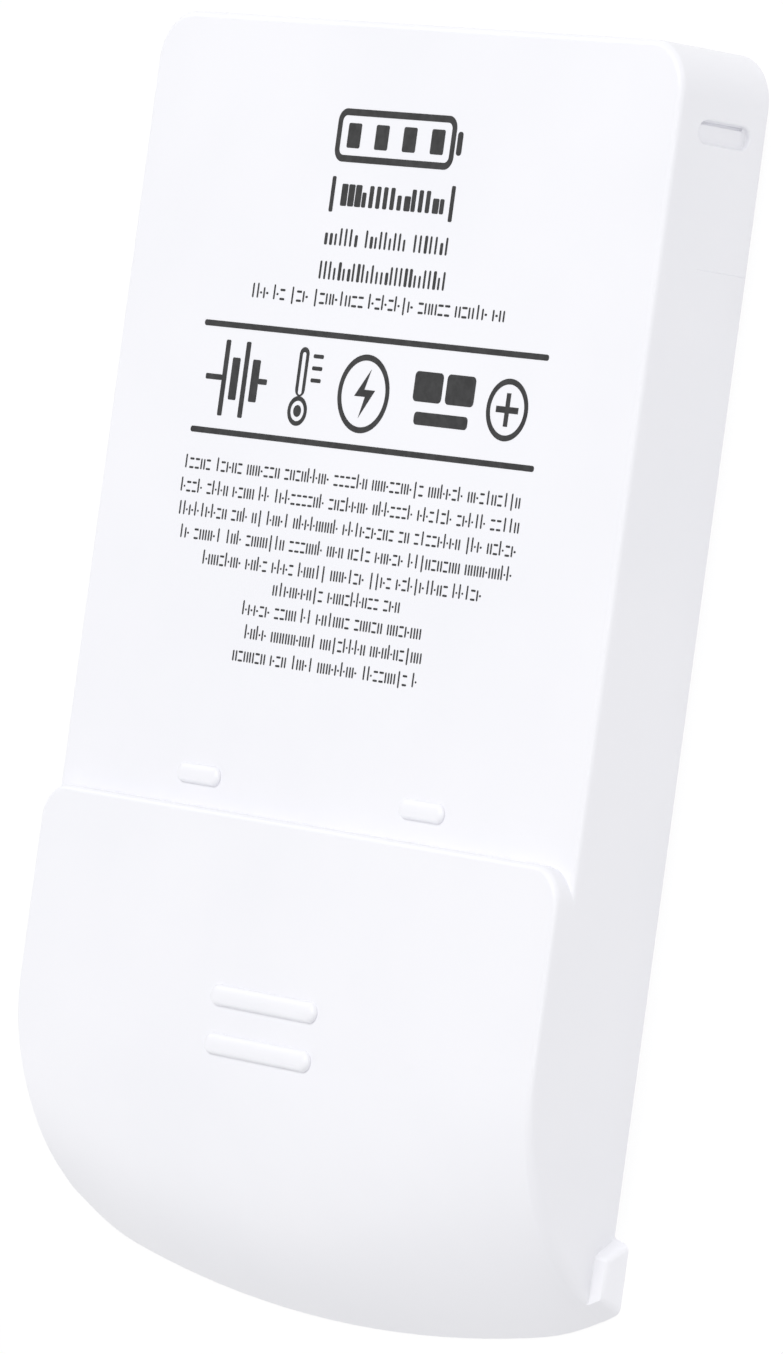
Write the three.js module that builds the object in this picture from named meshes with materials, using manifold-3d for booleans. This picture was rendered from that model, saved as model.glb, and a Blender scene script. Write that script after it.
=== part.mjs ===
// Slide-in rechargeable lithium-polymer battery pack.
//
// Frame: millimetres. The pack lies on its flat back.
//   +Z  out of the printed face          (back face at z = 0)
//   +Y  towards the contact end, the end that is pushed in first
//   +X  right-hand side, seen on the printed face with the contact end up
// Origin: centre of the pack's bounding box, on the back face. The locating lug stands out of the
// right side only, so the middle of the housing lies at x = -LUG.proud / 2. The shapes below are
// drawn about the middle of the housing, and the whole pack is shifted once at the end.
import * as THREE from 'three';
import { mergeVertices } from 'three/addons/utils/BufferGeometryUtils.js';
import Module from 'manifold-3d';

const wasm = await Module();
wasm.setup();

// ---------------------------------------------------------------- dimensions
const WIDTH = 56.0;            // across the side walls
const HALF_W = WIDTH / 2;
const LENGTH = 90.3;           // contact end to the middle of the rounded end
const TOP_Y = LENGTH / 2;      // outer face of the contact end
const SLAB_T = 8.1;            // back to printed face
const CAP_T = 9.45;            // back to the raised grip end
const SLAB_LEN = 56.0;         // contact end to the step
const STEP_Y = TOP_Y - SLAB_LEN;

const SLAB_CORNER_R = 3.6;     // plan corners at the contact end
const CAP_CORNER_R = 2.6;      // plan corners of the raised end at the step
const END_CORNER_R = 0.8;      // plan corners between side walls and rounded end
const SLAB_EDGE = 0.7;         // softened edge round the printed face
const CAP_EDGE = 0.6;          // softened edge round the raised end

const END_ROLL_R = 19.7;       // roll from the raised face down to the back
const END_TANGENT_Y = TOP_Y - 69.7;  // where the roll starts at the side walls
const END_SAG = 3.8;           // how far the middle of the end stands out past its sides

const FACE_WALL = 0.9;         // wall behind the printed face
const CAP_WALL = 1.3;          // wall of the raised end and of its roll
const SIDE_WALL = 2.0;
const TOP_WALL = 1.3;
const RIM_WALL = 1.2;          // rim round the rear cover
const LEDGE_Z = 0.95;          // shelf that the rear cover is welded to
const COVER_T = 0.9;
const COVER_GAP = 0.15;

const NUB = { x: [-12.4, 11.8], y: TOP_Y - 53.8, w: 4.8, h: 1.5, t: 0.4 };          // snap detents
const RIDGE = { x: -0.45, y: [TOP_Y - 68.7, TOP_Y - 72.1], w: 11.6, h: 1.64, t: 0.45 }; // grip ridges
const SLOT = { y: TOP_Y - 5.8, z0: 1.3, z1: 6.05, h: 1.67, depth: 0.45 };   // latch recesses
// locating lug on the right side: it starts with a ramp and runs out into the rounded end
const LUG = { proud: 1.5, y0: TOP_Y - 80.45, y1: TOP_Y - 81.8, h: 1.72, cornerR: 0.4, lean: 0.24 };   // lean: its outer face leans in, per mm of height

const CELL_W = 50.0;           // soft-pouch cell, 6 x 50 x 61 with its terrace
const CELL_L = 61.0;
const CELL_T = 5.92;
const TERRACE_L = 4.2;
const TERRACE_T = 0.3;
const CELL_Z0 = 1.09;
const CELL_TOP_Y = TOP_Y - 4.6;              // edge of the terrace
const BODY_TOP_Y = CELL_TOP_Y - TERRACE_L;   // shoulder of the pouch
const CELL_END_Y = CELL_TOP_Y - CELL_L;

const BOARD = { w: 46.0, t: 0.8, z0: 1.15, z1: 6.95, y1: TOP_Y - 1.72 };   // y1: outer side
const BOARD_IN_Y = BOARD.y1 - BOARD.t;
const CONTACT = { w: 2.0, h: 3.4, pitch: 4.4, z: 4.05 };
const WINDOW = { w: 2.4, h: 3.8 };

// ---------------------------------------------------------------- helpers
const plastic = (color, roughness) => new THREE.MeshStandardMaterial({ color, roughness, metalness: 0 });
const metal = (color, roughness) => new THREE.MeshStandardMaterial({ color, roughness, metalness: 1 });

const pack = new THREE.Group();
function add(name, geometry, material, position = [0, 0, 0]) {
  const mesh = new THREE.Mesh(geometry, material);
  mesh.name = name;
  mesh.position.set(...position);
  pack.add(mesh);
  return mesh;
}

function toSolid(geometry) {
  const g = geometry.clone();
  g.deleteAttribute('normal');
  g.deleteAttribute('uv');
  const m = mergeVertices(g, 1e-5);
  return new wasm.Manifold(new wasm.Mesh({
    numProp: 3,
    vertProperties: new Float32Array(m.attributes.position.array),
    triVerts: new Uint32Array(m.index.array),
  }));
}
function toGeometry(solid) {
  const mesh = solid.getMesh();
  const g = new THREE.BufferGeometry();
  const pos = new Float32Array(mesh.numVert * 3);
  for (let i = 0; i < mesh.numVert; i++) {
    for (let k = 0; k < 3; k++) pos[i * 3 + k] = mesh.vertProperties[i * mesh.numProp + k];
  }
  g.setAttribute('position', new THREE.BufferAttribute(pos, 3));
  g.setIndex(new THREE.BufferAttribute(new Uint32Array(mesh.triVerts), 1));
  return g;
}

// box between two corners
function boxGeo(lo, hi) {
  const g = new THREE.BoxGeometry(hi[0] - lo[0], hi[1] - lo[1], hi[2] - lo[2]);
  g.translate((lo[0] + hi[0]) / 2, (lo[1] + hi[1]) / 2, (lo[2] + hi[2]) / 2);
  return g;
}
const boxSolid = (lo, hi) => toSolid(boxGeo(lo, hi));

// closed solid through a stack of outlines that all have the same number of points
function loft(levels) {
  const n = levels[0].pts.length;
  const verts = [];
  for (const { z, pts } of levels) for (const [x, y] of pts) verts.push(x, y, z);
  const index = [];
  for (let k = 0; k < levels.length - 1; k++) {
    for (let i = 0; i < n; i++) {
      const j = (i + 1) % n;
      const a = k * n + i, b = k * n + j, c = (k + 1) * n + i, d = (k + 1) * n + j;
      index.push(a, b, d, a, d, c);
    }
  }
  const flat = (level, up) => {
    const contour = levels[level].pts.map(([x, y]) => new THREE.Vector2(x, y));
    for (const [a, b, c] of THREE.ShapeUtils.triangulateShape(contour, [])) {
      const o = level * n;
      if (up) index.push(o + a, o + b, o + c); else index.push(o + a, o + c, o + b);
    }
  };
  flat(0, false);
  flat(levels.length - 1, true);
  const g = new THREE.BufferGeometry();
  g.setAttribute('position', new THREE.Float32BufferAttribute(verts, 3));
  g.setIndex(index);
  return g;
}

// points of an arc about (cx, cy), from angle a to angle b
function arcPts(cx, cy, r, a, b, n) {
  const out = [];
  for (let i = 0; i <= n; i++) {
    const t = a + (b - a) * i / n;
    out.push([cx + r * Math.cos(t), cy + r * Math.sin(t)]);
  }
  return out;
}

// outline of a rectangle with four plan corner radii, anticlockwise from the lower right
function roundRect(x0, x1, y0, y1, r, n = 5) {
  const q = Math.PI / 2;
  return [
    ...arcPts(x1 - r, y0 + r, r, -q, 0, n),
    ...arcPts(x1 - r, y1 - r, r, 0, q, n),
    ...arcPts(x0 + r, y1 - r, r, q, 2 * q, n),
    ...arcPts(x0 + r, y0 + r, r, 2 * q, 3 * q, n),
  ];
}

// outline that is straight on three sides and bowed outwards at the -Y end
function bowedOutline(halfW, yTop, topR, ySide, sag, endR, n = 16) {
  const R = (halfW * halfW + sag * sag) / (2 * sag);
  const cy = ySide - sag + R;
  const xc = halfW - endR;
  const yc = cy - Math.sqrt((R - endR) ** 2 - xc * xc);
  const a1 = Math.atan2(yc - cy, xc);
  const q = Math.PI / 2;
  const end = arcPts(0, cy, R, -Math.PI - a1, a1, n);
  return [
    ...end,
    ...arcPts(xc, yc, endR, a1, 0, 3).slice(1),
    ...arcPts(halfW - topR, yTop - topR, topR, 0, q, 5),
    ...arcPts(-halfW + topR, yTop - topR, topR, q, 2 * q, 5),
    ...arcPts(-xc, yc, endR, Math.PI, Math.PI - a1, 3).slice(0, -1),
  ];
}

// y of the rounded end at the side wall, at height z, for the outer surface or one inset below it
function rollY(z, inset = 0) {
  const r = END_ROLL_R - inset;
  const h = z - (CAP_T - END_ROLL_R);
  return END_TANGENT_Y - Math.sqrt(Math.max(0, r * r - h * h));
}

// prism of an outline in the plan, between two heights
function prism(pts, z0, z1) {
  return loft([{ z: z0, pts }, { z: z1, pts }]);
}
// low raised bar with rounded ends and a softened top
function bar(cx, cy, w, h, z0, z1) {
  const r = h / 2 - 0.01;
  const o = (d) => roundRect(cx - w / 2 + d, cx + w / 2 - d, cy - h / 2 + d, cy + h / 2 - d, r - d, 4);
  const t = z1 - z0;
  return loft([{ z: z0 - 0.3, pts: o(0) }, { z: z0 + t * 0.35, pts: o(0.04) }, { z: z0 + t * 0.8, pts: o(0.18) }, { z: z1, pts: o(0.42) }]);
}
// outline in the YZ plane swept from x0 to x1 (anticlockwise outline)
function sweepX(yz, x0, x1) {
  const shape = new THREE.Shape(yz.map(([y, z]) => new THREE.Vector2(y, z)));
  const g = new THREE.ExtrudeGeometry(shape, { depth: x1 - x0, bevelEnabled: false });
  // shape x -> Y, shape y -> Z, depth -> X
  g.applyMatrix4(new THREE.Matrix4().set(0, 0, 1, x0, 1, 0, 0, 0, 0, 1, 0, 0, 0, 0, 0, 1));
  return g;
}

// ---------------------------------------------------------------- front housing
// Slab with the printed face.
const slabOut = (d) => [
  [HALF_W - d, STEP_Y - 6],
  ...arcPts(HALF_W - SLAB_CORNER_R, TOP_Y - SLAB_CORNER_R, SLAB_CORNER_R - d, 0, Math.PI / 2, 6),
  ...arcPts(-HALF_W + SLAB_CORNER_R, TOP_Y - SLAB_CORNER_R, SLAB_CORNER_R - d, Math.PI / 2, Math.PI, 6),
  [-HALF_W + d, STEP_Y - 6],
];
const slab = loft([
  { z: 0, pts: slabOut(0.35) },
  { z: 0.35, pts: slabOut(0) },
  { z: SLAB_T - SLAB_EDGE, pts: slabOut(0) },
  { z: SLAB_T - SLAB_EDGE * 0.3, pts: slabOut(SLAB_EDGE * 0.3) },
  { z: SLAB_T, pts: slabOut(SLAB_EDGE) },
]);
// Raised grip end with its roll; the slab runs 6 mm into it.
const capOut = (z, d) => bowedOutline(HALF_W - d, STEP_Y - d, CAP_CORNER_R - d * 0.5, rollY(z), END_SAG, END_CORNER_R);
const capLevels = [0, 0.35, 1.4, 2.8, 4.1, 5.3, 6.4, 7.3, 8.0, CAP_T - CAP_EDGE].map((z) => ({ z, pts: capOut(z, z === 0 ? 0.35 : 0) }));
capLevels.push({ z: CAP_T - CAP_EDGE * 0.3, pts: capOut(CAP_T - CAP_EDGE * 0.3, CAP_EDGE * 0.3) });
capLevels.push({ z: CAP_T, pts: capOut(CAP_T, CAP_EDGE) });
const cap = loft(capLevels);
let housing = toSolid(slab).add(toSolid(cap));

// Hollow for the rear cover, and the cell space above the shelf that carries it.
const coverHole = bowedOutline(HALF_W - RIM_WALL, TOP_Y - RIM_WALL, SLAB_CORNER_R - RIM_WALL, rollY(0) + 1.5, END_SAG - 0.1, 0.9);
housing = housing.subtract(toSolid(prism(coverHole, -1, LEDGE_Z)));
const inner = (z) => bowedOutline(HALF_W - SIDE_WALL, TOP_Y - TOP_WALL, 2.2, rollY(z, CAP_WALL), END_SAG - 0.15, 0.8);
const faceIn = SLAB_T - FACE_WALL;
housing = housing.subtract(toSolid(loft([LEDGE_Z - 0.2, 2.2, 3.5, 4.7, 5.8, 6.6, faceIn].map((z) => ({ z, pts: inner(z) })))));
// Pocket under the raised end.
const capIn = CAP_T - CAP_WALL;
const pocket = (z) => bowedOutline(HALF_W - SIDE_WALL, STEP_Y - CAP_WALL, 1.2, rollY(z, CAP_WALL + 0.001), END_SAG - 0.15, 0.8);
housing = housing.subtract(toSolid(loft([faceIn - 0.4, faceIn + 0.2, capIn - 0.35, capIn - 0.03].map((z) => ({ z, pts: pocket(z) })))));

// Snap detents and grip ridges.
for (const x of NUB.x) housing = housing.add(toSolid(bar(x, NUB.y, NUB.w, NUB.h, SLAB_T, SLAB_T + NUB.t)));
for (const y of RIDGE.y) housing = housing.add(toSolid(bar(RIDGE.x, y, RIDGE.w, RIDGE.h, CAP_T, CAP_T + RIDGE.t)));

// Latch recess near the contact end, on both sides.
{
  const r = SLOT.h / 2;
  const slotOutline = [
    ...arcPts(SLOT.y, SLOT.z1 - r, r, 0, Math.PI, 8),
    ...arcPts(SLOT.y, SLOT.z0 + r, r, Math.PI, 2 * Math.PI, 8),
  ];
  for (const s of [-1, 1]) {
    const x = s * HALF_W;
    housing = housing.subtract(toSolid(sweepX(slotOutline, Math.min(x, x - s * SLOT.depth) - (s < 0 ? 1 : 0), Math.max(x, x - s * SLOT.depth) + (s > 0 ? 1 : 0))));
  }
}
// Locating lug on the right side, by the rounded end, which it follows.
{
  const bowR = (HALF_W ** 2 + END_SAG ** 2) / (2 * END_SAG);
  const bow = (x) => Math.sqrt(bowR ** 2 - x * x) - Math.sqrt(bowR ** 2 - HALF_W ** 2);
  const level = (x, d) => {
    const u = Math.max(0, x - (HALF_W + LUG.proud - LUG.cornerR));
    const e = Math.max(0.03, LUG.cornerR - Math.sqrt(Math.max(0, LUG.cornerR ** 2 - u * u)));
    const yEnd = (z) => rollY(z) - bow(x) + e;
    const top = LUG.h - d;
    return { z: x, pts: [[yEnd(0), 0], [LUG.y0 - d, 0], [LUG.y1 - d * 0.6, top], [yEnd(top), top], [yEnd(1.2), 1.2], [yEnd(0.6), 0.6]] };
  };
  const g = loft([[-0.6, 0], [0, 0], [0.6, 0.09], [1.1, 0.18], [LUG.proud - 0.25, 0.22], [LUG.proud - 0.08, 0.32], [LUG.proud, 0.5]].map(([x, d]) => level(HALF_W + x, d)));
  // points are (y, z, x) here
  const pos = g.attributes.position;
  for (let i = 0; i < pos.count; i++) {
    const out = pos.getZ(i) - HALF_W;
    if (out > 0) pos.setZ(i, HALF_W + out * (1 - LUG.lean * pos.getY(i)));
  }
  g.applyMatrix4(new THREE.Matrix4().set(0, 0, 1, 0, 1, 0, 0, 0, 0, 1, 0, 0, 0, 0, 0, 1));
  housing = housing.add(toSolid(g));
}
// Contact windows through the end wall.
const contactX = [-1.5, -0.5, 0.5, 1.5].map((k) => k * CONTACT.pitch);
for (const x of contactX) {
  housing = housing.subtract(boxSolid(
    [x - WINDOW.w / 2, TOP_Y - TOP_WALL - 0.5, CONTACT.z - WINDOW.h / 2],
    [x + WINDOW.w / 2, TOP_Y + 1, CONTACT.z + WINDOW.h / 2]));
}
// Ribs that hold the board upright, stop the cell and stiffen the rounded end.
for (const s of [-1, 1]) {
  const x = s * (BOARD.w / 2 + 0.35);
  housing = housing.add(boxSolid([Math.min(x, x + s * 3.2), BOARD_IN_Y - 0.9, 3.4], [Math.max(x, x + s * 3.2), BOARD_IN_Y - 0.1, faceIn + 0.2]));
}
const ribY = CELL_END_Y - 1.35;
for (const x of [-18, 0, 18]) housing = housing.add(boxSolid([x - 3, ribY - 1.0, 3.6], [x + 3, ribY, capIn + 0.2]));
for (const x of [-18, 0, 18]) housing = housing.add(boxSolid([x - 0.5, ribY - 7.5, 4.4], [x + 0.5, ribY - 0.5, capIn - 0.2]));
add('front_housing', toGeometry(housing), plastic(0xf4f4f8, 0.5));

// ---------------------------------------------------------------- rear cover
const coverOut = (d) => bowedOutline(HALF_W - RIM_WALL - COVER_GAP - d, TOP_Y - RIM_WALL - COVER_GAP - d,
  SLAB_CORNER_R - RIM_WALL - COVER_GAP - d, rollY(0) + 1.5 + COVER_GAP + d, END_SAG - 0.1, 0.9);
let cover = toSolid(loft([{ z: 0, pts: coverOut(0.15) }, { z: 0.15, pts: coverOut(0) }, { z: COVER_T, pts: coverOut(0) }]));
for (const x of [-9, 9]) cover = cover.add(boxSolid([x - 0.5, ribY - 8.0, COVER_T - 0.2], [x + 0.5, ribY, 5.0]));
cover = cover.add(boxSolid([-21, ribY - 1.0, COVER_T - 0.2], [21, ribY, 3.3]));
add('rear_cover', toGeometry(cover), plastic(0xf2f2f6, 0.55));

// ---------------------------------------------------------------- cell
// Soft pouch: soft-edged body with the flat sealing terrace at the contact end.
const pouchOut = (d, yTop) => roundRect(-CELL_W / 2 + d, CELL_W / 2 - d, CELL_END_Y + d, yTop - d, 1.6 - d * 0.8, 4);
const body = loft([
  { z: CELL_Z0, pts: pouchOut(0.5, BODY_TOP_Y) },
  { z: CELL_Z0 + 0.5, pts: pouchOut(0, BODY_TOP_Y) },
  { z: CELL_Z0 + CELL_T - 0.9, pts: pouchOut(0, BODY_TOP_Y - 0.25) },
  { z: CELL_Z0 + CELL_T - 0.25, pts: pouchOut(0.3, BODY_TOP_Y - 0.5) },
  { z: CELL_Z0 + CELL_T, pts: pouchOut(0.95, BODY_TOP_Y - 0.6) },
]);
const terraceZ = CELL_Z0 + 0.5;
const terrace = boxSolid([-CELL_W / 2 + 1.2, BODY_TOP_Y - 1, terraceZ], [CELL_W / 2 - 1.2, CELL_TOP_Y, terraceZ + TERRACE_T]);
add('cell_pouch', toGeometry(toSolid(body).add(terrace)), metal(0xb9bcc2, 0.45));

// Tabs leave the terrace edge on both sides of the middle.
const TAB_X = 13.0;
const TAB_W = 4.0;
const TAB_T = 0.12;
const tabZ = terraceZ + TERRACE_T / 2 - TAB_T / 2;
// sealant film round each tab, just past the terrace
for (const [name, x] of [['positive_tab_film', TAB_X], ['negative_tab_film', -TAB_X]]) {
  const film = boxSolid([x - 3.2, CELL_TOP_Y + 0.03, terraceZ + 0.02], [x + 3.2, CELL_TOP_Y + 0.75, terraceZ + TERRACE_T - 0.02]);
  const slit = boxSolid([x - TAB_W / 2 - 0.03, CELL_TOP_Y - 1, tabZ - 0.03], [x + TAB_W / 2 + 0.03, CELL_TOP_Y + 0.5, tabZ + TAB_T + 0.03]);
  add(name, toGeometry(film.subtract(slit)), plastic(0x2b2b30, 0.4));
}

// ---------------------------------------------------------------- board
const padT = 0.2;
add('protection_board', boxGeo([-BOARD.w / 2, BOARD_IN_Y, BOARD.z0], [BOARD.w / 2, BOARD.y1, BOARD.z1]), plastic(0x1d5a38, 0.45));
const padY1 = BOARD_IN_Y - 0.02;
for (const [name, x] of [['positive_solder_pad', TAB_X], ['negative_solder_pad', -TAB_X]]) {
  add(name, boxGeo([x - 2.4, padY1 - padT, 2.4], [x + 2.4, padY1, 6.2]), metal(0xc8c4b6, 0.35));
}

// Positive tab: out of the film, then up against its pad.
function bentTab(x, yOut, zLow, yPad, zTop) {
  // side view outline, anticlockwise in (y, z)
  const t = TAB_T;
  return sweepX([[yOut, zLow], [yPad, zLow], [yPad, zTop], [yPad - t, zTop], [yPad - t, zLow + t], [yOut, zLow + t]], x - TAB_W / 2, x + TAB_W / 2);
}
const tabY0 = CELL_TOP_Y + 0.78;
const tabY1 = padY1 - padT - 0.03;
add('positive_tab', bentTab(TAB_X, tabY0, tabZ, tabY1, 5.6), metal(0xd9dbe0, 0.3));

// Negative side: the cell tab folds back over the terrace to a thermal cutoff, whose far lead goes to the board.
const foldZ = terraceZ + TERRACE_T + 0.55;
add('negative_tab', sweepX([
  [tabY0, tabZ], [tabY0 + 0.3, tabZ], [tabY0 + 0.3, foldZ + TAB_T], [CELL_TOP_Y - 2.6, foldZ + TAB_T], [CELL_TOP_Y - 2.6, foldZ],
  [tabY0 + 0.3 - TAB_T, foldZ], [tabY0 + 0.3 - TAB_T, tabZ + TAB_T], [tabY0, tabZ + TAB_T],
], -TAB_X - TAB_W / 2, -TAB_X + TAB_W / 2), metal(0xbfb8a6, 0.3));

const CUT_X = -5.6;
const cutZ = foldZ + 0.35;
const cutBody = loft([
  { z: cutZ, pts: roundRect(CUT_X - 1.9, CUT_X + 1.9, CELL_TOP_Y - 3.3, CELL_TOP_Y - 0.5, 0.3, 3) },
  { z: cutZ + 0.85, pts: roundRect(CUT_X - 1.9, CUT_X + 1.9, CELL_TOP_Y - 3.3, CELL_TOP_Y - 0.5, 0.3, 3) },
  { z: cutZ + 1.0, pts: roundRect(CUT_X - 1.75, CUT_X + 1.75, CELL_TOP_Y - 3.15, CELL_TOP_Y - 0.65, 0.3, 3) },
]);
add('thermal_cutoff', cutBody, plastic(0x26262b, 0.5));
// lead from the folded negative tab to the cutoff
add('cutoff_cell_lead', boxGeo([-TAB_X - 1.4, CELL_TOP_Y - 2.3, foldZ + TAB_T + 0.02], [CUT_X + 1.2, CELL_TOP_Y - 0.9, cutZ - 0.02]), metal(0xc8c4b6, 0.35));
// lead from the cutoff up to the board's negative pad: along the cutoff's top, over and up
const leadZ = cutZ + 1.03;
add('cutoff_board_lead', toGeometry(
  boxSolid([-TAB_X - 1.2, CELL_TOP_Y - 2.2, leadZ], [CUT_X + 1.2, CELL_TOP_Y - 0.9, leadZ + 0.12])
    .add(boxSolid([-TAB_X - 1.2, CELL_TOP_Y - 2.2, leadZ], [-TAB_X + 1.2, tabY1, leadZ + 0.12]))
    .add(boxSolid([-TAB_X - 1.2, tabY1 - 0.12, leadZ], [-TAB_X + 1.2, tabY1, 5.6]))), metal(0xc8c4b6, 0.35));

// Insulating tape on the terrace, under the folded tab.
add('terrace_tape', boxGeo([-CELL_W / 2 + 2.4, BODY_TOP_Y + 0.25, terraceZ + TERRACE_T + 0.03], [CELL_W / 2 - 2.4, CELL_TOP_Y - 0.1, terraceZ + TERRACE_T + 0.13]), plastic(0xc98a2b, 0.35));

// Contacts: gold-plated blocks on the outer side of the board, seen in the windows.
['positive_contact', 'thermistor_contact', 'identity_contact', 'negative_contact'].forEach((name, i) => {
  const x = contactX[3 - i];
  const y0 = BOARD.y1 + 0.02;
  const o = (d) => roundRect(x - CONTACT.w / 2 + d, x + CONTACT.w / 2 - d, CONTACT.z - CONTACT.h / 2 + d, CONTACT.z + CONTACT.h / 2 - d, 0.3, 3);
  // lofted along -Z, then turned so that its height runs along +Y
  const g = loft([{ z: 0, pts: o(0) }, { z: 0.95, pts: o(0) }, { z: 1.07, pts: o(0.12) }]);
  g.applyMatrix4(new THREE.Matrix4().set(-1, 0, 0, 2 * x, 0, 0, 1, y0, 0, 1, 0, 0, 0, 0, 0, 1));
  add(name, g, metal(0xd9b25a, 0.25));
});

// Parts on the inner side of the board.
function chip(name, x, z, w, h, t, material, soft = 0.08) {
  const y1 = BOARD_IN_Y - 0.02;
  const o = (d) => roundRect(x - w / 2 + d, x + w / 2 - d, z - h / 2 + d, z + h / 2 - d, 0.06, 2);
  const g = loft([{ z: 0, pts: o(0) }, { z: t - soft, pts: o(0) }, { z: t, pts: o(soft) }]);
  g.applyMatrix4(new THREE.Matrix4().set(1, 0, 0, 0, 0, 0, -1, y1, 0, 1, 0, 0, 0, 0, 0, 1));
  add(name, g, material);
}
chip('mosfet_pair', 4.6, 4.1, 4.4, 3.0, 0.95, plastic(0x1c1c1f, 0.55));
chip('protection_chip', -1.6, 4.1, 2.9, 1.7, 0.95, plastic(0x1c1c1f, 0.55));
chip('sense_resistor', 8.9, 4.1, 1.6, 3.0, 0.55, plastic(0x24242a, 0.5));
chip('supply_resistor', -4.4, 5.2, 1.0, 0.6, 0.4, plastic(0x1c1c1f, 0.5), 0.04);
chip('supply_capacitor', -4.4, 3.6, 1.6, 0.85, 0.8, plastic(0xb59a72, 0.5), 0.04);
chip('output_capacitor', 19.6, 4.4, 1.6, 0.85, 0.8, plastic(0xb59a72, 0.5), 0.04);
chip('identity_resistor', 19.6, 2.9, 1.0, 0.6, 0.4, plastic(0x1c1c1f, 0.5), 0.04);
chip('thermistor', -19.4, 3.2, 1.6, 0.85, 0.8, plastic(0x5b6a4b, 0.5), 0.04);

// ---------------------------------------------------------------- pads and foam
const cellZ1 = CELL_Z0 + CELL_T;
add('front_adhesive_pad', prism(roundRect(-18, 18, STEP_Y + 2, BODY_TOP_Y - 4, 1.5, 3), cellZ1 + 0.02, faceIn - 0.02), plastic(0xe9e4d2, 0.8));
add('rear_adhesive_pad', prism(roundRect(-18, 18, CELL_END_Y + 5, BODY_TOP_Y - 5, 1.5, 3), COVER_T + 0.02, CELL_Z0 - 0.02), plastic(0xe9e4d2, 0.8));
for (const [name, s] of [['left_foam', -1], ['right_foam', 1]]) {
  const x0 = s * (CELL_W / 2 + 0.08), x1 = s * (HALF_W - SIDE_WALL - 0.08);
  add(name, boxGeo([Math.min(x0, x1), CELL_END_Y + 4, 2.4], [Math.max(x0, x1), BODY_TOP_Y - 4, 5.8]), plastic(0x3a3a3e, 0.95));
}
add('end_foam', boxGeo([-21, ribY + 0.1, 3.7], [21, CELL_END_Y - 0.1, 6.4]), plastic(0x3a3a3e, 0.95));

// centre of the bounding box on x = 0
pack.position.x = -LUG.proud / 2;
pack.updateMatrixWorld(true);

export default pack;
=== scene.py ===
import math
import random

import bmesh
import bpy
from mathutils import Matrix, Vector


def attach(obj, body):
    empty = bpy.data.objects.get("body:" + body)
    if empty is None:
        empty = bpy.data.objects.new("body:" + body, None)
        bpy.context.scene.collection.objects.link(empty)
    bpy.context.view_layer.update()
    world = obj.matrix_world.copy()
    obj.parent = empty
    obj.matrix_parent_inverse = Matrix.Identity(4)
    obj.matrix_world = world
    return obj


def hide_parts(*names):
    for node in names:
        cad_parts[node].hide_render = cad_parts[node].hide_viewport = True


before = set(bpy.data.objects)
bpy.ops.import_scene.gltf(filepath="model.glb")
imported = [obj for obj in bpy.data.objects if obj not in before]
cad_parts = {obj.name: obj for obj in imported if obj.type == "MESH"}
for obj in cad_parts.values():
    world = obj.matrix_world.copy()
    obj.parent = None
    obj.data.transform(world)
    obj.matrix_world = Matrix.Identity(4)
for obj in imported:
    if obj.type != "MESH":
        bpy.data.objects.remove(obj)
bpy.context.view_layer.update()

MM = 0.001
SHIFT = -0.75      # the housing's middle in the row frame: the lug stands out on one side only

# ------------------------------------------------------------------ sizes (mm, row frame)
HALF_W = 28.0
TOP_Y = 45.15
SLAB_T = 8.1
CAP_T = 9.45
STEP_Y = TOP_Y - 56.0
R_ROLL = 19.7
YC = TOP_Y - 69.7
ZC = CAP_T - R_ROLL
SAG = 3.8
BOW_R = (HALF_W ** 2 + SAG ** 2) / (2 * SAG)
CAP_WALL = 1.3
FACE_IN = SLAB_T - 0.9
CAP_IN = CAP_T - CAP_WALL
LEDGE_Z = 0.95


def bow(x, z=0.0):
    """How far the end stands out at x past its side, at height z: an arc whose ends turn in a little more near the back."""
    x = abs(x)
    arc_part = SAG - x * x / 226.0
    turn = 0.0195 * max(0.0, x - 22.0) ** 2
    full = SAG - (BOW_R - math.sqrt(BOW_R ** 2 - x * x))
    w = smooth(6.0, 0.0, z)
    return full * (1 - w) + (arc_part - turn) * w


def smooth(a, b, t):
    u = min(1.0, max(0.0, (t - a) / (b - a)))
    return u * u * (3 - 2 * u)


# ------------------------------------------------------------------ mesh tools
def mesh_from(name, verts, faces):
    """Mesh in mm, consistent outward faces, duplicates merged."""
    me = bpy.data.meshes.new(name)
    me.from_pydata([tuple(v) for v in verts], [], faces)
    bm = bmesh.new()
    bm.from_mesh(me)
    bmesh.ops.remove_doubles(bm, verts=bm.verts, dist=2e-4)
    bmesh.ops.dissolve_degenerate(bm, edges=bm.edges, dist=2e-4)
    bmesh.ops.recalc_face_normals(bm, faces=bm.faces)
    if bm.calc_volume(signed=True) < 0:
        bmesh.ops.reverse_faces(bm, faces=bm.faces)
    bm.to_mesh(me)
    bm.free()
    return me


def loft(name, rings, place=None):
    """Closed mesh through rings of points (x, y, z), all with the same count; ends are filled."""
    n = len(rings[0])
    verts = [p for r in rings for p in r]
    faces = []
    for k in range(len(rings) - 1):
        for i in range(n):
            j = (i + 1) % n
            faces.append((k * n + i, k * n + j, (k + 1) * n + j, (k + 1) * n + i))
    faces.append(tuple(range(n))[::-1])
    faces.append(tuple((len(rings) - 1) * n + i for i in range(n)))
    if place is not None:
        verts = [place @ Vector(v) for v in verts]
    return mesh_from(name, verts, faces)


def temp_object(me):
    o = bpy.data.objects.new(me.name, me)
    bpy.context.scene.collection.objects.link(o)
    return o


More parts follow.
